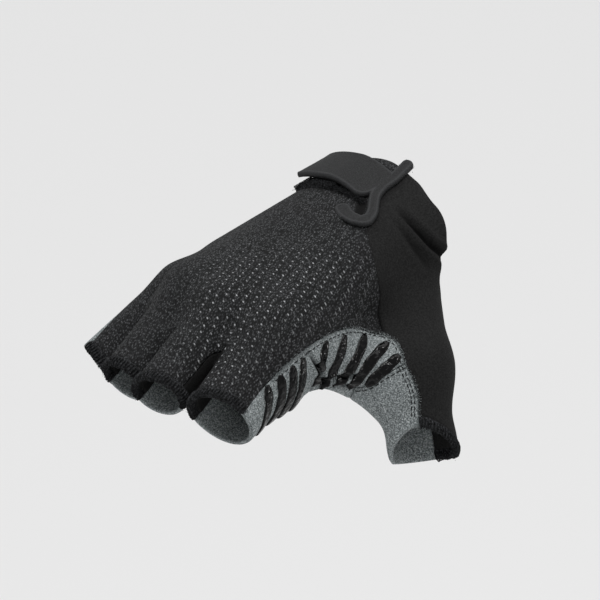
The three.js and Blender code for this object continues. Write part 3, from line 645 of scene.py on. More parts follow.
def closed(quads, edge, count):
    """The cells of a wall: the upper ones, the lower ones turned over, and one between them for each edge."""
    a, b = edge[:, 0], edge[:, 1]
    return np.concatenate([quads, quads[:, ::-1] + count, np.stack([b, a, a + count, b + count], -1)])


def cloth(panel, height, wall, roll=(0.55, 1.3)):
    """A panel's upper surface at a height that may vary, its lower one a wall below and the rim between."""
    top = laid(panel.base, height + rolled(panel.to_edge, *roll), panel.owners, rounds=4)
    under = laid(top, height - wall, panel.owners, rounds=3)
    return np.concatenate([top, under]), closed(panel.quads, panel.edge, len(panel.base))


# %% Meshes and pieces
def cell_mesh(name, points, quads, masks=None, uv=None):
    """A Blender mesh in metres from points in mm and cells, with named point masks and UVs for each point."""
    mesh = bpy.data.meshes.new(name)
    size = quads.shape[1]
    mesh.vertices.add(len(points))
    mesh.vertices.foreach_set("co", (points * 0.001).astype(np.float32).ravel())
    mesh.loops.add(quads.size)
    mesh.loops.foreach_set("vertex_index", quads.astype(np.int32).ravel())
    mesh.polygons.add(len(quads))
    mesh.polygons.foreach_set("loop_start", np.arange(0, quads.size, size, dtype=np.int32))
    mesh.polygons.foreach_set("loop_total", np.full(len(quads), size, np.int32))
    mesh.update(calc_edges=True)
    mesh.polygons.foreach_set("use_smooth", np.ones(len(quads), bool))
    if uv is not None:
        layer = mesh.uv_layers.new(name="weave")
        layer.data.foreach_set("uv", uv[quads.ravel()].astype(np.float32).ravel())
    for key, values in (masks or {}).items():
        mesh.attributes.new(key, "FLOAT", "POINT").data.foreach_set("value", values.astype(np.float32))
    return mesh


def piece(name, points, quads, material, slot, replaces=(), masks=None, uv=None):
    """An object for a mesh, with its material, body and the CAD nodes that it stands for. Its slot is not used.
    """
    mesh = cell_mesh(name, points, quads, masks, uv)
    mesh.validate()
    made = bpy.data.objects.new(name, mesh)
    bpy.context.scene.collection.objects.link(made)
    mesh.materials.append(material)
    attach(made, "root")
    if replaces:
        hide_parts(*replaces)
    print(name, "faces:", len(mesh.polygons))


# %% [markdown]
# Finishes
#
# Every finish is a procedural material. The knit's pattern follows the cloth, so it reads UVs, which are
# millimetres. Grains without a direction read Object coordinates, which are metres. One function turns a hex
# colour into the linear values that Blender works with, and one adds a node with its settings and links.


# %% Colours and nodes
def linear(hex_colour):
    """sRGB hex to linear RGBA: x / 12.92 below 0.04045, else ((x + 0.055) / 1.055) to the power 2.4."""
    srgb = [int(hex_colour[i:i + 2], 16) / 255 for i in (1, 3, 5)]
    return (*(x / 12.92 if x <= 0.04045 else ((x + 0.055) / 1.055) ** 2.4 for x in srgb), 1.0)


def per_mm(size):
    """The scale of a pattern on Object coordinates, in metres, whose grains have a size in mm."""
    return 1000 / size


def node(tree, kind, links=None, out=0, stops=(), **settings):
    """Adds a node and gives one of its outputs. Links are its sockets' values or other nodes' outputs, stops
    the positions and hex colours of a ramp, settings its own fields."""
    made = tree.nodes.new("ShaderNode" + kind)
    for field, value in settings.items():
        setattr(made, field, value)
    for socket, value in (links or {}).items():
        if isinstance(value, bpy.types.NodeSocket):
            tree.links.new(value, made.inputs[socket])
        else:
            made.inputs[socket].default_value = value
    for k, (position, colour) in enumerate(stops):
        element = made.color_ramp.elements[k] if k < 2 else made.color_ramp.elements.new(position)
        element.position, element.color = position, linear(colour)
    return made.outputs[out]


def surface(name, build, **constants):
    """A material whose build function returns its colour, roughness, bump height and bump depth in metres."""
    material = bpy.data.materials.new(name)
    material.use_nodes = True
    tree = material.node_tree
    shader = tree.nodes["Principled BSDF"]
    colour, roughness, height, depth = build(tree)
    for socket, value in (("Base Color", colour), ("Roughness", roughness)):
        if isinstance(value, bpy.types.NodeSocket):
            tree.links.new(value, shader.inputs[socket])
        else:
            shader.inputs[socket].default_value = value
    if height is not None:
        bump = node(tree, "Bump", {"Strength": 1.0, "Distance": depth, "Height": height}, "Normal")
        tree.links.new(bump, shader.inputs["Normal"])
    for socket, value in constants.items():
        shader.inputs[socket.replace("_", " ")].default_value = value
    return material


def patchy(tree, tone, patch_mm, most, patch_colour):
    """A tone mixed with another in slow patches: the share is their noise times the most it may be."""
    on_object = node(tree, "TexCoord", out="Object")
    slow = node(tree, "TexNoise", {"Vector": on_object, "Scale": per_mm(patch_mm), "Detail": 2.0})
    share = node(tree, "Math", {0: slow, 1: most}, operation="MULTIPLY")
    return node(tree, "Mix", {0: share, 6: tone, 7: linear(patch_colour)}, 2, data_type="RGBA")


def shaded(tree, tone, painted_shade_colour):
    """A tone darkened by painted shade where the cloth's shade mask is on: in its folds and in the slit."""
    deep = node(tree, "Attribute", out="Fac", attribute_name="shade")
    return node(tree, "Mix", {0: deep, 6: tone, 7: linear(painted_shade_colour)}, 2, data_type="RGBA")


# %% [markdown]
# Knit mesh
#
# The back is a warp-knit polyester mesh. Its stitches make short slanting grains about a millimetre long, and
# some lie flat enough to catch the light. Their glints are painted into the colour as small light dots, in a
# slanting lattice that the UVs hold. Over the knuckles the painted glints are brighter; a point mask on the
# panel says where.

# %% The knit
KNIT_GRAIN_MM = (1.25, 0.6, 0.8)
KNIT_SLANT = math.radians(110)
DOT_STEPS_MM = (3.8, 2.55)


def knit_look(tree):
    """Slanted cells for the grain, a lattice of painted glints of small flat stitches, and painted shade in the
    slit.
    """
    on_object = node(tree, "TexCoord", out="Object")
    grain = {"Vector": on_object, "Rotation": (0, 0, KNIT_SLANT), "Scale": [x / 1000 for x in KNIT_GRAIN_MM]}
    slanted = node(tree, "Mapping", grain, vector_type="TEXTURE")
    stitch = node(tree, "TexVoronoi", {"Vector": slanted, "Scale": 1.0, "Randomness": 0.85}, "Distance")
    lattice = {"Vector": node(tree, "UVMap", uv_map="weave"), "Scale": (*DOT_STEPS_MM, 1)}
    flat = node(tree, "Mapping", lattice, vector_type="TEXTURE")
    nearest_dot = node(tree, "TexVoronoi", {"Vector": flat, "Scale": 1.0, "Randomness": 0.12}, "Distance",
                       voronoi_dimensions="2D")
    spot = node(tree, "MapRange", {"Value": nearest_dot, "From Min": 0.14, "From Max": 0.06})
    uneven = node(tree, "TexNoise", {"Vector": on_object, "Scale": per_mm(3.85), "Detail": 1.0})
    some = node(tree, "MapRange", {"Value": uneven, "From Min": 0.35, "From Max": 0.65, "To Min": 0.4})
    some_spots = node(tree, "Math", {0: spot, 1: some}, operation="MULTIPLY")
    # Painted highlight: this point mask makes the painted glints brighter over the knuckles.
    glint_strength = node(tree, "Attribute", out="Fac", attribute_name="knuckle_glint")
    shine = node(tree, "Math", {0: some_spots, 1: glint_strength}, operation="MULTIPLY")
    yarn = node(tree, "ValToRGB", {0: stitch}, stops=[(0.1, "#5e5f61"), (0.38, "#242526"), (0.68, "#060606")])
    worn = patchy(tree, yarn, 8.33, 0.35, "#303132")
    # The light grey dots are painted glints of flat stitches.
    dotted = node(tree, "Mix", {0: shine, 6: worn, 7: linear("#aeb0b2")}, 2, data_type="RGBA")
    raised = node(tree, "Math", {0: 1.0, 1: stitch}, operation="SUBTRACT")
    # Painted shade: the shade mask darkens the slit nearly to black.
    return shaded(tree, dotted, "#020202"), 0.85, raised, 0.0002


knit = surface("warp_knit_polyester_mesh", knit_look, Specular_IOR_Level=0.2)

# %% [markdown]
# Suede, microfibre, binding thread, rubber and silicone
#
# The palm is a grey synthetic suede with a short nap: light and dark flecks half a millimetre across. The
# thumb's back and the finger sides are a black brushed microfibre, nearly even, with a soft sheen on its
# curves. The hems are bound with matte black yarn. The tab is moulded rubber with a fine eroded texture. The
# grip bars are printed silicone, which has a gloss that is broken by the nap below it.


# %% The other finishes
def suede_look(tree):
    """Two sizes of flecks over slow patches, with painted shade where the cloth is folded in."""
    on_object = node(tree, "TexCoord", out="Object")
    grain = {"Vector": on_object, "Scale": per_mm(0.588), "Detail": 3.0, "Roughness": 0.75}
    fleck = node(tree, "TexNoise", grain)
    nap = node(tree, "ValToRGB", {0: fleck}, stops=[(0.34, "#3a3e3f"), (0.5, "#7d8384"), (0.66, "#d3d9da")])
    return shaded(tree, patchy(tree, nap, 9.09, 0.35, "#6d7475"), "#202223"), 0.95, fleck, 0.00035


def microfibre_look(tree):
    """A black brushed cloth, a little uneven, with painted shade where it is folded in and in the slit."""
    on_object = node(tree, "TexCoord", out="Object")
    grain = {"Vector": on_object, "Scale": per_mm(0.667), "Detail": 3.0, "Roughness": 0.75}
    fibre = node(tree, "TexNoise", grain)
    tone = node(tree, "ValToRGB", {0: fibre}, stops=[(0.35, "#0e0e0e"), (0.65, "#292929")])
    return shaded(tree, patchy(tree, tone, 11.76, 0.35, "#252525"), "#020202"), 0.9, fibre, 0.00015


def binding_look(tree):
    """Matte yarn with hairy grains."""
    on_object = node(tree, "TexCoord", out="Object")
    grain = {"Vector": on_object, "Scale": per_mm(0.8), "Detail": 3.0, "Roughness": 0.75}
    fibre = node(tree, "TexNoise", grain)
    tone = node(tree, "ValToRGB", {0: fibre}, stops=[(0.34, "#0a0a0b"), (0.52, "#242526"), (0.7, "#4e4f52")])
    return tone, 0.95, fibre, 0.0004


def rubber_look(tree):
    """Moulded rubber with an eroded texture of half a millimetre, and a painted highlight along its edges."""
    on_object = node(tree, "TexCoord", out="Object")
    grain = {"Vector": on_object, "Scale": per_mm(0.4545), "Detail": 2.0, "Roughness": 0.6}
    pit = node(tree, "TexNoise", grain)
    tone = node(tree, "ValToRGB", {0: pit}, stops=[(0.38, "#111112"), (0.62, "#2a2b2c")])
    edge = node(tree, "Attribute", out="Fac", attribute_name="edge")
    edge_highlighted = {0: node(tree, "Math", {0: edge, 1: 0.3}, operation="MULTIPLY"),
              6: patchy(tree, tone, 10, 0.3, "#1a1b1c"), 7: linear("#4c4d4f")}
    return node(tree, "Mix", edge_highlighted, 2, data_type="RGBA"), 0.7, pit, 0.00025


def silicone_look(tree):
    """Black silicone with a lumpy gloss, which breaks the highlights up."""
    on_object = node(tree, "TexCoord", out="Object")
    grain = {"Vector": on_object, "Scale": per_mm(2.63), "Detail": 1.5, "Roughness": 0.5}
    lump = node(tree, "TexNoise", grain)
    span = {"Value": lump, "From Min": 0.3, "From Max": 0.7, "To Min": 0.08, "To Max": 0.25}
    return linear("#050506"), node(tree, "MapRange", span), lump, 0.0012


suede = surface("napped_synthetic_suede", suede_look, Specular_IOR_Level=0.2)
microfibre = surface("brushed_microfibre", microfibre_look, Specular_IOR_Level=0.15)
binding = surface("overlock_yarn", binding_look, Specular_IOR_Level=0.15)
rubber = surface("moulded_rubber", rubber_look, Specular_IOR_Level=0.3)
silicone = surface("printed_silicone", silicone_look, Specular_IOR_Level=0.22)
print("Finishes:", len(bpy.data.materials))

# %% [markdown]
# The back panel
#
# The back is one piece of knit from the wrist to the four hems. It is smooth over the hand, with shallow
# dents between the knuckles. A short slit inside the closure's hook lets the hand in; it is not cut here, but
# painted as dark shade on the cloth. The painted glints of the knit lie in one slanting lattice, so its UVs are
# the plan of the panel in millimetres, slanted.

# %% Relief of the back, the slit's painted shade and the painted glints over the knuckles
SLIT_HALF_WIDTH = 2.3
DOT_SLANT = 0.385
slit_line = curve(on_hand([(34.5, 20.6), (31, 18.6), (25, 15.6)]), 30)
DENTS = [([(26, 48, 50), (30, 60, 45), (33, 70, 30)], 0.7, 4.0),
         ([(-2, 50, 45), (1, 62, 45), (3, 73, 30)], 0.5, 4.0),
         ([(-24, 50, 30), (-25, 60, 20), (-26, 67, 5)], 0.5, 3.5)]
KNUCKLES = [(28, 75, 34), (29, 66, 56), (39, 54, 53), (37, 42, 52), (46, 84, -5), (9, 60, 60)]
KNUCKLE_REACH = 15


def slit_shade_mask(points):
    """Painted shade of the slit's dark opening: 1 inside the slit, 0 elsewhere. No opening is cut."""
    return np.exp(-(nearest(points, slit_line)[0] / SLIT_HALF_WIDTH) ** 6)


def knuckle_glint_mask(points):
    """How bright the knit's painted glints are: a bell over each knuckle, on a little everywhere."""
    bells = sum(0.8 * np.exp(-(np.linalg.norm(points - laid(place(*at)), axis=1) / KNUCKLE_REACH) ** 2)
                for at in KNUCKLES)
    return np.clip(bells + 0.06, 0, 1)


back = Panel(back_patches)
back_points, back_quads = cloth(back, folds(back.base, DENTS, 0.2), 1.2)
back_uv = np.stack([back_points[:, 0] + DOT_SLANT * back_points[:, 1], -back_points[:, 1]], axis=1)
# Painted glints over the knuckles, and painted shade in the slit.
back_masks = {"knuckle_glint": knuckle_glint_mask(back_points), "shade": slit_shade_mask(back_points)}
piece("back_panel_knit", back_points, back_quads, knit, "knit", ["back_panel"], back_masks, back_uv)

# %% [markdown]
# The palm and the thumb
#
# The suede palm wraps round the web between thumb and index finger, where it creases and rolls. The thumb has
# a black panel on its back, which folds at the wrist and stands off the arm there, and a suede panel towards
# the palm.

# %% Relief of the palm, the web and the thumb
PALM_FOLDS = [([(58, 61.5, 8), (58.4, 60, -6), (58, 58, -26), (56, 56, -50)], 1.3, 1.0),
              ([(58, 61, -46), (61, 53, -46), (66, 46, -52)], 1.3, 0.9),
              ([(57, 62, -62), (60, 55, -62), (65, 48, -66)], 1.5, 1.0)]
THUMB_FOLDS = [([(27.6, 10.9, 56.8), (36.2, 10.4, 42.6), (42.2, 8.6, 21.3), (44, 6.2, 5.1),
                 (44.7, 4.7, -12.5)], 2.0, 1.5),
               ([(30, 13.5, 54), (39, 13.6, 36.8), (43.3, 12.7, 20.4), (47, 11.2, -0.7)], 0.9, 1.7)]
CUFF_STAND_OFF, CUFF_FLARE_REACH = 4.6, 12.5
SHADE_DEPTH = 1.2
flare_centre = met(hand_chart, 80, 0.5)


def palm_relief(points):
    """The crease in the web and the rolls at its free edge."""
    return folds(points, PALM_FOLDS, 0.6)


def thumb_folds(points):
    """Two long folds from the closure down to the wrist edge."""
    return folds(points, THUMB_FOLDS, 0.6)


def thumb_relief(points):
    """The wrist edge that stands off the arm on the thumb side, as a bell, with its folds."""
    away = np.linalg.norm(points - flare_centre, axis=1) / CUFF_FLARE_REACH
    return CUFF_STAND_OFF * np.exp(-away ** 2) + thumb_folds(points)


def dressed(name, patches, relief, valleys, material, wall, slot, **options):
    """A cloth panel for the CAD node of its name. Valleys are the part of its relief that gets painted shade.
    """
    panel = Panel(patches)
    points, quads = cloth(panel, relief(panel.base), wall, **options)
    # Painted shade: the cloth darkens with the depth of its valleys, to full shade at SHADE_DEPTH, and in the
    # slit.
    painted_hollow_shade = np.tile(np.clip(-valleys(panel.base) / SHADE_DEPTH, 0, 1), 2)
    masks = {"shade": np.maximum(painted_hollow_shade, slit_shade_mask(points))}
    piece(name + "_cloth", points, quads, material, slot, [name], masks)


def level(height):
    """A relief that is one height all over."""
    return lambda points: np.full(len(points), height)


# %% The panels of the palm and the thumb, and the strips between the fingers
# The strips between the fingers lie a little sunk, and as valleys the same level paints an even shade over
# them.
SUNK_AND_SHADED = level(-0.35)
dressed("palm_panel", palm_patches, palm_relief, palm_relief, suede, 1.6, "suede")
dressed("thumb_back_panel", thumb_back_patches, thumb_relief, thumb_folds, microfibre, 1.3, "microfibre")
dressed("thumb_palm_panel", thumb_palm_patches, level(0), level(0), suede, 1.6, "suede")
for patches, pair in zip(fourchette_patches, ["index_middle", "middle_ring", "ring_little"]):
    dressed("fourchette_" + pair, patches, SUNK_AND_SHADED, SUNK_AND_SHADED, microfibre, 1.65, "microfibre", roll=(0.3, 0.6))

# %% [markdown]
# Hems
#
# Over the knit and between the fingers each stall ends in a bound hem: an overlock stitch, a yarn that runs
# round and round the edge, with short fibres that stand off it. Towards the palm the suede is cut and runs to
# the edge. The yarn is a tube along a helix whose section is an ellipse round the edge of a narrow band.


# %% Tubes along many paths at once
def tubes(paths, radii, guide, sides=6):
    """Closed tubes round paths (count, steps, xyz): a ring of points at each step, turned by a guide way."""
    count, steps, _ = paths.shape
    along = unit(np.gradient(paths, axis=1))
    one = unit(guide - (guide * along).sum(-1, keepdims=True) * along)
    two = np.cross(along, one)
    angle = np.linspace(0, 2 * np.pi, sides, endpoint=False)
    ring = np.cos(angle)[:, None] * one[:, :, None] + np.sin(angle)[:, None] * two[:, :, None]
    points = paths[:, :, None] + np.broadcast_to(radii, (count, steps))[:, :, None, None] * ring
    ids = np.arange(count * steps * sides).reshape(count, steps, sides)
    beside = np.roll(ids, -1, axis=2)
    quads = [np.stack([ids[:, :-1], beside[:, :-1], beside[:, 1:], ids[:, 1:]], -1).reshape(-1, 4)]
    for k in range(1, sides - 1, 2):
        quads += [ids[:, 0][:, [0, k + 2, k + 1, k]], ids[:, -1][:, [0, k, k + 1, k + 2]]]
    return points.reshape(-1, 3), np.concatenate(quads)


# %% Hem bands, the yarn round them and their fibres
YARN_RADIUS, YARN_STEP, YARN_STEPS = 0.31, 1.15, 14
HEM_RISE, HEM_LAP, HEM_CELL = 0.35, 0.7, 0.5
FIBRE_RADIUS, FIBRE_LEAN = 0.085, 0.7
ASKEW = np.array([0.3, 0.5, 0.8])
shuffle = np.random.default_rng(7)


def hem_band(name, point_at, own, start, end, arc):
    """A band with round edges that laps over the panel's end; it replaces the CAD hem of its name."""
    angles = np.linspace(start, end, int(arc / HEM_CELL) + 1)
    grid = np.stack([point_at(angles, inset) for inset in np.linspace(HEM_WIDTH + HEM_LAP, 0, 10)])
    band = Panel([(grid, own)], rounds=0, margin=0.1)
    wave, cross_wave = (np.sin(band.base @ np.array(way)) for way in [(2.1, 1.7, 2.6), (-1.3, 2.9, 1.1)])
    points, quads = cloth(band, HEM_RISE + 0.1 * wave * cross_wave, 1.7, roll=(0.8, 1.2))
    piece(name + "_bound", points, quads, binding, "hem", [name])


def overlock(name, point_at, own, start, end, arc):
    """Yarn coiled round a hem's free edge: its distance from the edge and its height go round an ellipse."""
    turns = int(arc / YARN_STEP)
    t = np.linspace(0, 1, turns * YARN_STEPS + 1)
    phase = 2 * np.pi * turns * t
    wobble = np.repeat(shuffle.normal(0, 0.16, turns + 1), YARN_STEPS)[:len(t)]
    inset = 1.75 + (2.05 + wobble) * np.cos(phase)
    slant = 0.35 * (end - start) / turns * np.cos(phase)
    base = point_at(start + (end - start) * t + slant, inset)
    path = laid(base, -0.45 + 1.2 * np.sin(phase), own, rounds=4)
    ring_way = point_at(start + (end - start) * t + 2, inset) - point_at(start + (end - start) * t - 2, inset)
    thickness = YARN_RADIUS * (1 + 0.25 * np.sin(1.7 * phase + 3 * t))
    piece(name + "_yarn", *tubes(path[None], thickness, unit(ring_way)[None]), binding, "hem")


def fuzz(name, line, heights, count, length, spread, material, slot, own=ALL_FINGERS):
    """Short fibres that stand off a line in all directions, thinner towards their tips."""
    at = shuffle.integers(1, len(line) - 1, count)
    roots = line[at] + shuffle.normal(0, spread, (count, 3))
    roots = laid(roots, np.broadcast_to(heights, len(line))[at] - 0.1, own, rounds=4)
    lean = unit(outward(roots, own) + shuffle.normal(0, FIBRE_LEAN, roots.shape))
    up = np.linspace(0, 1, 4)[None, :, None]
    lengths = length * shuffle.uniform(0.5, 1.2, (count, 1, 1))
    paths = roots[:, None] + lean[:, None] * up * lengths
    paths = paths + shuffle.normal(0, 0.3, (count, 1, 3)) * up ** 2 * lengths
    guide = np.broadcast_to(np.cross(lean, ASKEW)[:, None], paths.shape)
    piece(name, *tubes(paths, FIBRE_RADIUS * np.linspace(1, 0.45, 4), guide, 4), material, slot)


# %% The five hems
# Columns: name, hem, finger, angle where the bound arc starts, angle where it ends.
for name, point_at, own, start, end in [
        ("hem_index", stalls[0]["at_hem"], 0, -115, 74), ("hem_middle", stalls[1]["at_hem"], 1, -115, 115),
        ("hem_ring", stalls[2]["at_hem"], 2, -115, 115), ("hem_little", stalls[3]["at_hem"], 3, -16, 115),
        ("thumb_hem", thumb_hem_point, ALL_FINGERS, HEM_BACK_SEAM, HEM_PALM_SEAM)]:
    arc = length_of(point_at(np.linspace(start, end, 60), 0.0))
    hem_band(name, point_at, own, start, end, arc)
    overlock(name, point_at, own, start, end, arc)
    rim = point_at(np.linspace(start, end, 300), 1.2)
    fuzz(name + "_fuzz", rim, HEM_RISE, 420, 0.4, 0.8, binding, "hem", own)

# %% [markdown]
# The wrist edge
#
# The panels run to the wrist edge and are turned in there, so no band shows outside. Its facing lies inside.

# %% The facing inside the wrist edge
FACING_WIDTH, FACING_DEPTH = 5.0, 1.7
facing_angles = np.linspace(0, 360, 301)
facing_grid = np.stack([cuff_point(facing_angles, inset) for inset in np.linspace(FACING_WIDTH, 0.6, 12)])
facing_grid[:, -1] = facing_grid[:, 0]
facing = Panel([(facing_grid, ALL_FINGERS)], rounds=0, margin=0.05)
facing_points, facing_quads = cloth(facing, thumb_relief(facing.base) - FACING_DEPTH, 0.7, roll=(0.3, 0.6))
piece("cuff_facing", facing_points, facing_quads, microfibre, "microfibre", ["cuff_binding"])

# %% [markdown]
# The closure
#
# The tab is one moulded piece: a rounded plate over the back of the wrist, a hook that curls round the slit
# and a short tape to the wrist edge. In the plane of the cloth it is a union of discs along centre lines, so
# a distance to those lines says where its edge runs, and the edge can be rounded off by the same distance.


# %% Plates cut from the form by an outline
def spread(lines):
    """Samples every 0.2 mm along lines on the form, as one array."""
    return np.concatenate([even_steps(line, int(length_of(line) / 0.2)) for line in lines])


def outline_panel(shapes, angles, distances):
    """The part of a grid round the hand that lies inside the outline, with its border moved onto the outline.
    Each shape is its centre lines' samples and the radius of the discs along them."""
    flat = met(hand_chart, *np.meshgrid(angles, distances)).reshape(-1, 3)

    def border_distance(p):
        found = [nearest(p, samples) for samples, _ in shapes]
        depths = np.stack([best - radius for (best, _), (_, radius) in zip(found, shapes)])
        away = np.stack([unit(p - samples[number]) for (_, number), (samples, _) in zip(found, shapes)])
        return depths.min(axis=0), away[depths.argmin(axis=0), np.arange(len(p))]

    ids = np.arange(len(flat)).reshape(len(distances), len(angles))
    quads = cells(ids, flat, ALL_FINGERS)
    quads = quads[border_distance(flat)[0][quads].mean(axis=1) < 0]
    kept, numbers = np.unique(quads, return_inverse=True)
    quads, flat = numbers.reshape(quads.shape), flat[kept]
    edge = free_edges(quads, len(flat))
    rim = np.unique(edge)
    for _ in range(3):
        off, away = border_distance(flat[rim])
        flat[rim] = laid(flat[rim] - off[:, None] * away, rounds=3)
    return flat, quads, edge, -np.minimum(border_distance(flat)[0], 0)


def plate(name, parts, top, bottom, material, slot, node_name, masks=None):
    """A closed plate between two heights over an outline panel."""
    flat, quads, edge, _ = parts
    both = {key: np.tile(values, 2) for key, values in (masks or {}).items()}
    points = np.concatenate([laid(flat, top, rounds=4), laid(flat, bottom, rounds=4)])
    piece(name, points, closed(quads, edge, len(flat)), material, slot, [node_name], both)


def sideways_of(line):
    """Unit vectors across a line, along the form."""
    return unit(np.cross(np.gradient(line, axis=0), outward(line)))


# %% The rubber tab
# Rows of angle round the hand and share of the length.
TAB_ROWS = [(21, 8.8), (13, 8.5), (-5, 8.2), (-25, 8), (-45, 8), (-66, 8)]
HOOK_ROWS = [(25, 8), (29, 12), (34.5, 14.8), (39.4, 17.2), (42, 20), (40, 22.3), (34, 23), (27, 22.6),
             (20, 21.6)]
TAPE_ROWS = [(25, 8), (24, 3), (21.5, -0.8), (19.5, -3.8)]
TAB_WIDTH, TAB_CORNER, TAB_THICKNESS, HOOK_WIDTH = 19, 5, 1.8, 4.6
TAB_SEAT, TAB_LIFT, TAB_CURL = 0.4, 2.6, 1.6
LIFT_END = 0.45

tab_centre = curve(on_hand(TAB_ROWS), 120)
tab_core = [laid(tab_centre[8:-10] + sideways_of(tab_centre)[8:-10] * offset, rounds=4)
            for offset in np.linspace(-1, 1, 5) * (TAB_WIDTH / 2 - TAB_CORNER)]
hook_line, tape_line = curve(on_hand(HOOK_ROWS), 100), curve(on_hand(TAPE_ROWS), 40)
tab_shapes = [(spread(tab_core), TAB_CORNER), (spread([hook_line[:64]]), HOOK_WIDTH / 2),
              (spread([hook_line[60:78]]), 0.58 * HOOK_WIDTH), (spread([hook_line[74:]]), 0.68 * HOOK_WIDTH),
              (spread([tape_line]), HOOK_WIDTH / 2)]
tab = outline_panel(tab_shapes, np.linspace(-90, 48, 330), np.linspace(-8, 38, 115))
tab_inward = tab[3]
tab_along = nearest(tab[0], tab_centre)[1] / (len(tab_centre) - 1)
tab_rise = np.clip(tab_along / LIFT_END, 0, 1)
tab_curl = np.clip((tab_along - LIFT_END) / 0.5, 0, 1)
tab_floor = TAB_SEAT + (TAB_LIFT - TAB_SEAT) * tab_rise ** 2 * (3 - 2 * tab_rise) + TAB_CURL * tab_curl ** 2
bead = 0.25 * np.exp(-((tab_inward - 0.9) / 0.45) ** 2)
tip_fade = 1.9 * np.exp(-(np.linalg.norm(tab[0] - hook_line[-1], axis=1) / 7) ** 2)
tab_top = tab_floor + TAB_THICKNESS + rolled(tab_inward, 0.9, 0.8) + bead - tip_fade
# The edge mask paints a highlight along the tab's rim.
plate("closure_tab_moulding", tab, tab_top, tab_floor, rubber, "rubber", "closure_tab",
      {"edge": np.exp(-((tab_inward - 0.7) / 0.6) ** 2)})

# %% [markdown]
# The patch below the tab
#
# The tab holds on a patch of bristly tape. Its bed is a plate, and its bristles are thin tubes that lean all
# ways. Fibres that came loose stand along the patch's edge by the hook and at the tape's end.

# %% The bed, its bristles and the loose fibres
BRISTLE_LENGTH, BRISTLE_RADIUS, BRISTLE_COUNT = 1.6, 0.13, 2600
patch_line = curve(on_hand([(-14, 9.8), (-30, 9.8), (-50, 9.8), (-68, 9.8)]), 80)
patch_core = [laid(patch_line[4:-4] + sideways_of(patch_line)[4:-4] * offset, rounds=4)
              for offset in np.linspace(-1, 1, 7) * 7.5]
bed = outline_panel([(spread(patch_core), 2.5)], np.linspace(-95, 0, 150), np.linspace(-2, 30, 55))
plate("loop_patch_bed", bed, 1.2 + rolled(bed[3], 0.9, 0.8), -0.3, binding, "bristle", "loop_patch")
corners = bed[0][bed[1]]
chosen = shuffle.integers(0, len(corners), BRISTLE_COUNT)
weights = shuffle.dirichlet(np.ones(4), BRISTLE_COUNT)
roots = (corners[chosen] * weights[:, :, None]).sum(1)
lean = unit(outward(roots) + shuffle.normal(0, 0.45, roots.shape))
up = np.linspace(0, 1, 4)[None, :, None]
bristles = laid(roots, 0.9, rounds=3)[:, None] + lean[:, None] * up * BRISTLE_LENGTH * (0.5 + 0.5 * up)
guide = np.cross(lean, ASKEW)[:, None] + 0 * bristles
piece("loop_patch_bristles", *tubes(bristles, BRISTLE_RADIUS * np.linspace(1, 0.5, 4), guide, 4), binding,
      "bristle")
hook_side = curve(on_hand([(-30, 16), (-12, 16.2), (3, 16.2), (16, 16), (26, 16)]), 300)
fuzz("loop_patch_rim", hook_side, 0.3, 1100, 1.2, 0.7, binding, "bristle")
fuzz("tape_frayed_end", tape_line[-4:], 1.0, 60, 1.3, 1.0, binding, "rubber")

# %% [markdown]
# Printed grip bars
#
# The silicone is printed on the suede as slightly bent bars with domed tops. Each bar follows the folds of
# the suede below it, because it takes the same relief.

# %% The bars
GRIP_WIDTH, GRIP_RISE, GRIP_CUTS = 4.1, 0.6, 50
GRIP_ROWS = [
    [(59, 77, 2), (63, 78.5, -22), (60, 82.5, -54)],
    [(59, 72.3, 5), (62, 73.7, -20), (59, 78, -56)],
    [(59, 68, 7), (62, 69.5, -14), (59, 74, -54)],
    [(58.6, 64, 8), (62, 65.6, -12), (59, 70, -52)],
    [(56.2, 54, 5), (58, 56.8, -12), (57, 60, -46)],
    [(55.6, 47, -3), (59, 50.8, -20), (56, 58, -58)],
    [(55.6, 39.4, -19), (61, 46, -31), (58, 54, -62)],
    [(62.5, 35.2, -31), (64, 42.5, -40), (61, 50, -66)],
    [(70.4, 35.4, -42), (70, 41, -48), (66, 46, -64)],
    [(30, 60, -62), (18, 62, -52), (4, 62, -42)],
    [(28, 67, -60), (16, 69, -46), (2, 69, -36)],
    [(-14, 62, -46), (-22, 55, -52), (-28, 46, -62)],
    [(-6, 66, -40), (-12, 58, -46), (-16, 48, -60)],
]


def grip_bar(number, row):
    """A strip along a path, with a wavy border and a domed top."""
    path = curve([place(*at) for at in row], GRIP_CUTS)
    t = np.linspace(-1, 1, GRIP_CUTS + 1)
    half = GRIP_WIDTH / 2 * np.maximum(1 - np.abs(t) ** 6, 0.25) ** 0.5 * (1 + 0.06 * np.sin(9 * t + number))
    across = half[:, None] * np.linspace(-1, 1, 11)
    grid = laid(path[:, None] + sideways_of(path)[:, None] * across[..., None], rounds=5)
    bar = Panel([(grid, ALL_FINGERS)], rounds=0, margin=0.0)
    points, quads = cloth(bar, palm_relief(bar.base) + GRIP_RISE + 0.1, GRIP_RISE, roll=(GRIP_RISE, 1.2))
    name = f"grip_{number:02d}"
    piece(name + "_print", points, quads, silicone, "silicone", [name])


for number, row in enumerate(GRIP_ROWS, 1):
    grip_bar(number, row)

# %% [markdown]
# Stitches and raw edges
#
# The suede is sewn down a little way from its seams with dark thread. A stitch is a short tube that dips into
# the cloth at both ends. The suede is cut, not hemmed, along the web and the thumb, so its nap stands up
# there as light fuzz.

# %% Rows of stitches
STITCH_LENGTH, STITCH_GAP, STITCH_RADIUS, STITCH_DIP = 1.7, 0.7, 0.2, 0.35
SEAM_SAMPLES = 400


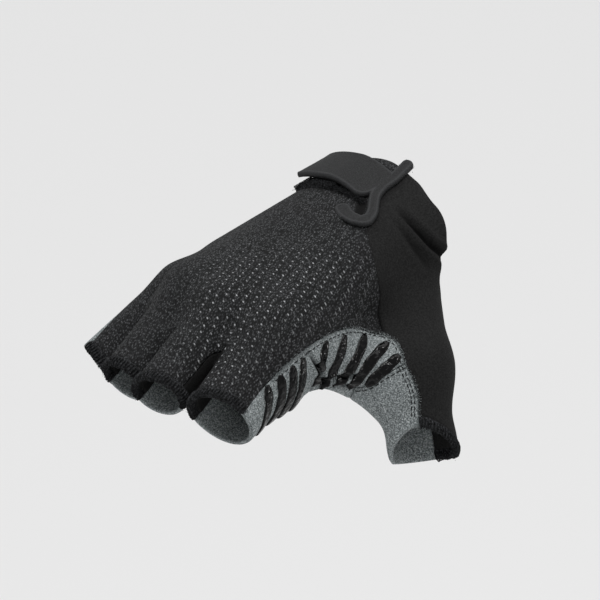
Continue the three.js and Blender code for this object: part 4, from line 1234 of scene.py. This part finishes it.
def stitch_row(line, inside, offset):
    """Stitches beside a seam's line, at an offset, on the side where the point called inside lies."""
    length = length_of(line)
    count = int(length / (STITCH_LENGTH + STITCH_GAP))
    fine = even_steps(line, SEAM_SAMPLES)
    sideways = sideways_of(fine)
    middle = SEAM_SAMPLES // 2
    if ((inside - fine[middle]) * sideways[middle]).sum() < 0:
        sideways = -sideways
    start = (np.arange(count) + 0.5) / count
    t = start[:, None] + np.linspace(-0.5, 0.5, 6) * STITCH_LENGTH / length
    at = np.clip(t, 0, 1) * SEAM_SAMPLES
    low = np.minimum(at.astype(int), SEAM_SAMPLES - 1)
    share = (at - low)[..., None]
    base = fine[low] * (1 - share) + fine[low + 1] * share + sideways[low] * offset
    height = 0.12 - STITCH_DIP * np.linspace(-1, 1, 6) ** 4
    relief = palm_relief(base.reshape(-1, 3)).reshape(base.shape[:2])
    return tubes(laid(base, relief + height, rounds=4), STITCH_RADIUS, sideways[low])


def stitches(name, rows):
    """Several rows of stitches as one piece."""
    made = [stitch_row(*row) for row in rows]
    starts = np.cumsum([0] + [len(points) for points, _ in made])
    quads = np.concatenate([quads + start for (_, quads), start in zip(made, starts)])
    piece(name, np.concatenate([points for points, _ in made]), quads, binding, "hem")


# %% The stitches and the fuzz of the web and the thumb
web_side, thumb_inside = place(62, 50, -30), place(76, 42, -90)
stitches("web_stitches", [(seam_web, web_side, 1.5), (seam_knuckle, place(60, 66, -30), 1.5),
                          (seam_corner, web_side, 1.5)])
stitches("thumb_stitches", [(seam_thumb, thumb_inside, 1.6), (seam_thumb, thumb_inside, 2.8),
                            (seam_thumb_base, thumb_inside, 1.4)])
suede_edge = joined(seam_knuckle[::-1], seam_web[::-1], seam_corner, seam_thumb)
fuzz("suede_edge_fuzz", suede_edge, palm_relief(suede_edge) + 0.1, 1300, 0.4, 0.4, suede, "suede")

# %% [markdown]
# Camera, light and floor
#
# The camera stands where a fit of the form to the photograph put it. The floor is far below, so the glove
# throws no shadow that the camera sees. The light comes from all round, and most of it from a very wide sun
# nearly overhead, which gives soft shade. Four small lamps are there for the gloss of the bars to mirror.

# %% Camera
CAMERA_AZIMUTH, CAMERA_ELEVATION, CAMERA_ROLL = (math.radians(x) for x in (50.1156, 36.3099, -4.6108))
CAMERA_PLACE = (0.637065, -0.581724, 0.593928)
CAMERA_LENS, SENSOR_WIDTH = 157.436, 36.0

back_axis = np.array([math.sin(CAMERA_AZIMUTH) * math.cos(CAMERA_ELEVATION),
                      -math.cos(CAMERA_AZIMUTH) * math.cos(CAMERA_ELEVATION), math.sin(CAMERA_ELEVATION)])
level_axis = np.array([math.cos(CAMERA_AZIMUTH), math.sin(CAMERA_AZIMUTH), 0])
right = level_axis * math.cos(CAMERA_ROLL) + np.cross(back_axis, level_axis) * math.sin(CAMERA_ROLL)
turn = Matrix(np.column_stack([right, np.cross(back_axis, right), back_axis]).tolist())
camera = bpy.data.objects.new("camera", bpy.data.cameras.new("camera"))
camera.data.lens, camera.data.sensor_width = CAMERA_LENS, SENSOR_WIDTH
camera.data.clip_start, camera.data.clip_end = 0.05, 20
camera.matrix_world = Matrix.Translation(CAMERA_PLACE) @ turn.to_4x4()
scene = bpy.context.scene
scene.collection.objects.link(camera)
scene.camera = camera
print("Camera, m from the origin:", round(float(np.linalg.norm(CAMERA_PLACE)), 3))

# %% Light and floor
GLOVE_MIDDLE = (0.02, -0.07, -0.01)
FLOOR_HALF, FLOOR_Z = 6000.0, -900.0
scene.view_settings.view_transform = "Standard"
world = bpy.data.worlds.new("studio")
scene.world = world
world.use_nodes = True
world.node_tree.nodes["Background"].inputs["Color"].default_value = linear("#ffffff")
world.node_tree.nodes["Background"].inputs["Strength"].default_value = 0.42


def softbox(name, place_m, size_m, watts):
    """A square area light that faces the middle of the glove."""
    light = bpy.data.lights.new(name, "AREA")
    light.size, light.energy = size_m, watts
    lamp = bpy.data.objects.new(name, light)
    z = unit(np.array(place_m) - np.array(GLOVE_MIDDLE))
    x = unit(np.cross([0, 0, 1], z))
    turned = Matrix(np.column_stack([x, np.cross(z, x), z]).tolist())
    lamp.matrix_world = Matrix.Translation(place_m) @ turned.to_4x4()
    scene.collection.objects.link(lamp)


softbox("top", (0.25, -0.12, 1.05), 0.08, 2.6)
softbox("side", (0.8, -0.9, 0.5), 0.08, 0.5)
softbox("gloss", (0.8, 0.58, -0.12), 0.05, 0.8)
softbox("gloss_above", (0.1, 0.75, 0.72), 0.05, 0.4)
sky = bpy.data.objects.new("sky", bpy.data.lights.new("sky", "SUN"))
sky.data.energy, sky.data.angle = 1.75, math.radians(70)
sky.rotation_euler = (math.radians(-12), math.radians(-18), 0)
scene.collection.objects.link(sky)

floor_corners = [(-FLOOR_HALF, -FLOOR_HALF, FLOOR_Z), (FLOOR_HALF, -FLOOR_HALF, FLOOR_Z),
                 (FLOOR_HALF, FLOOR_HALF, FLOOR_Z), (-FLOOR_HALF, FLOOR_HALF, FLOOR_Z)]
floor_mesh = cell_mesh("floor", np.array(floor_corners), np.array([[0, 1, 2, 3]]))
floor = bpy.data.objects.new("floor", floor_mesh)
scene.collection.objects.link(floor)
floor_mesh.materials.append(surface("matt_paper", lambda tree: (linear("#e8e8e8"), 1.0, None, 0)))
print("Lamps:", len(bpy.data.lights))
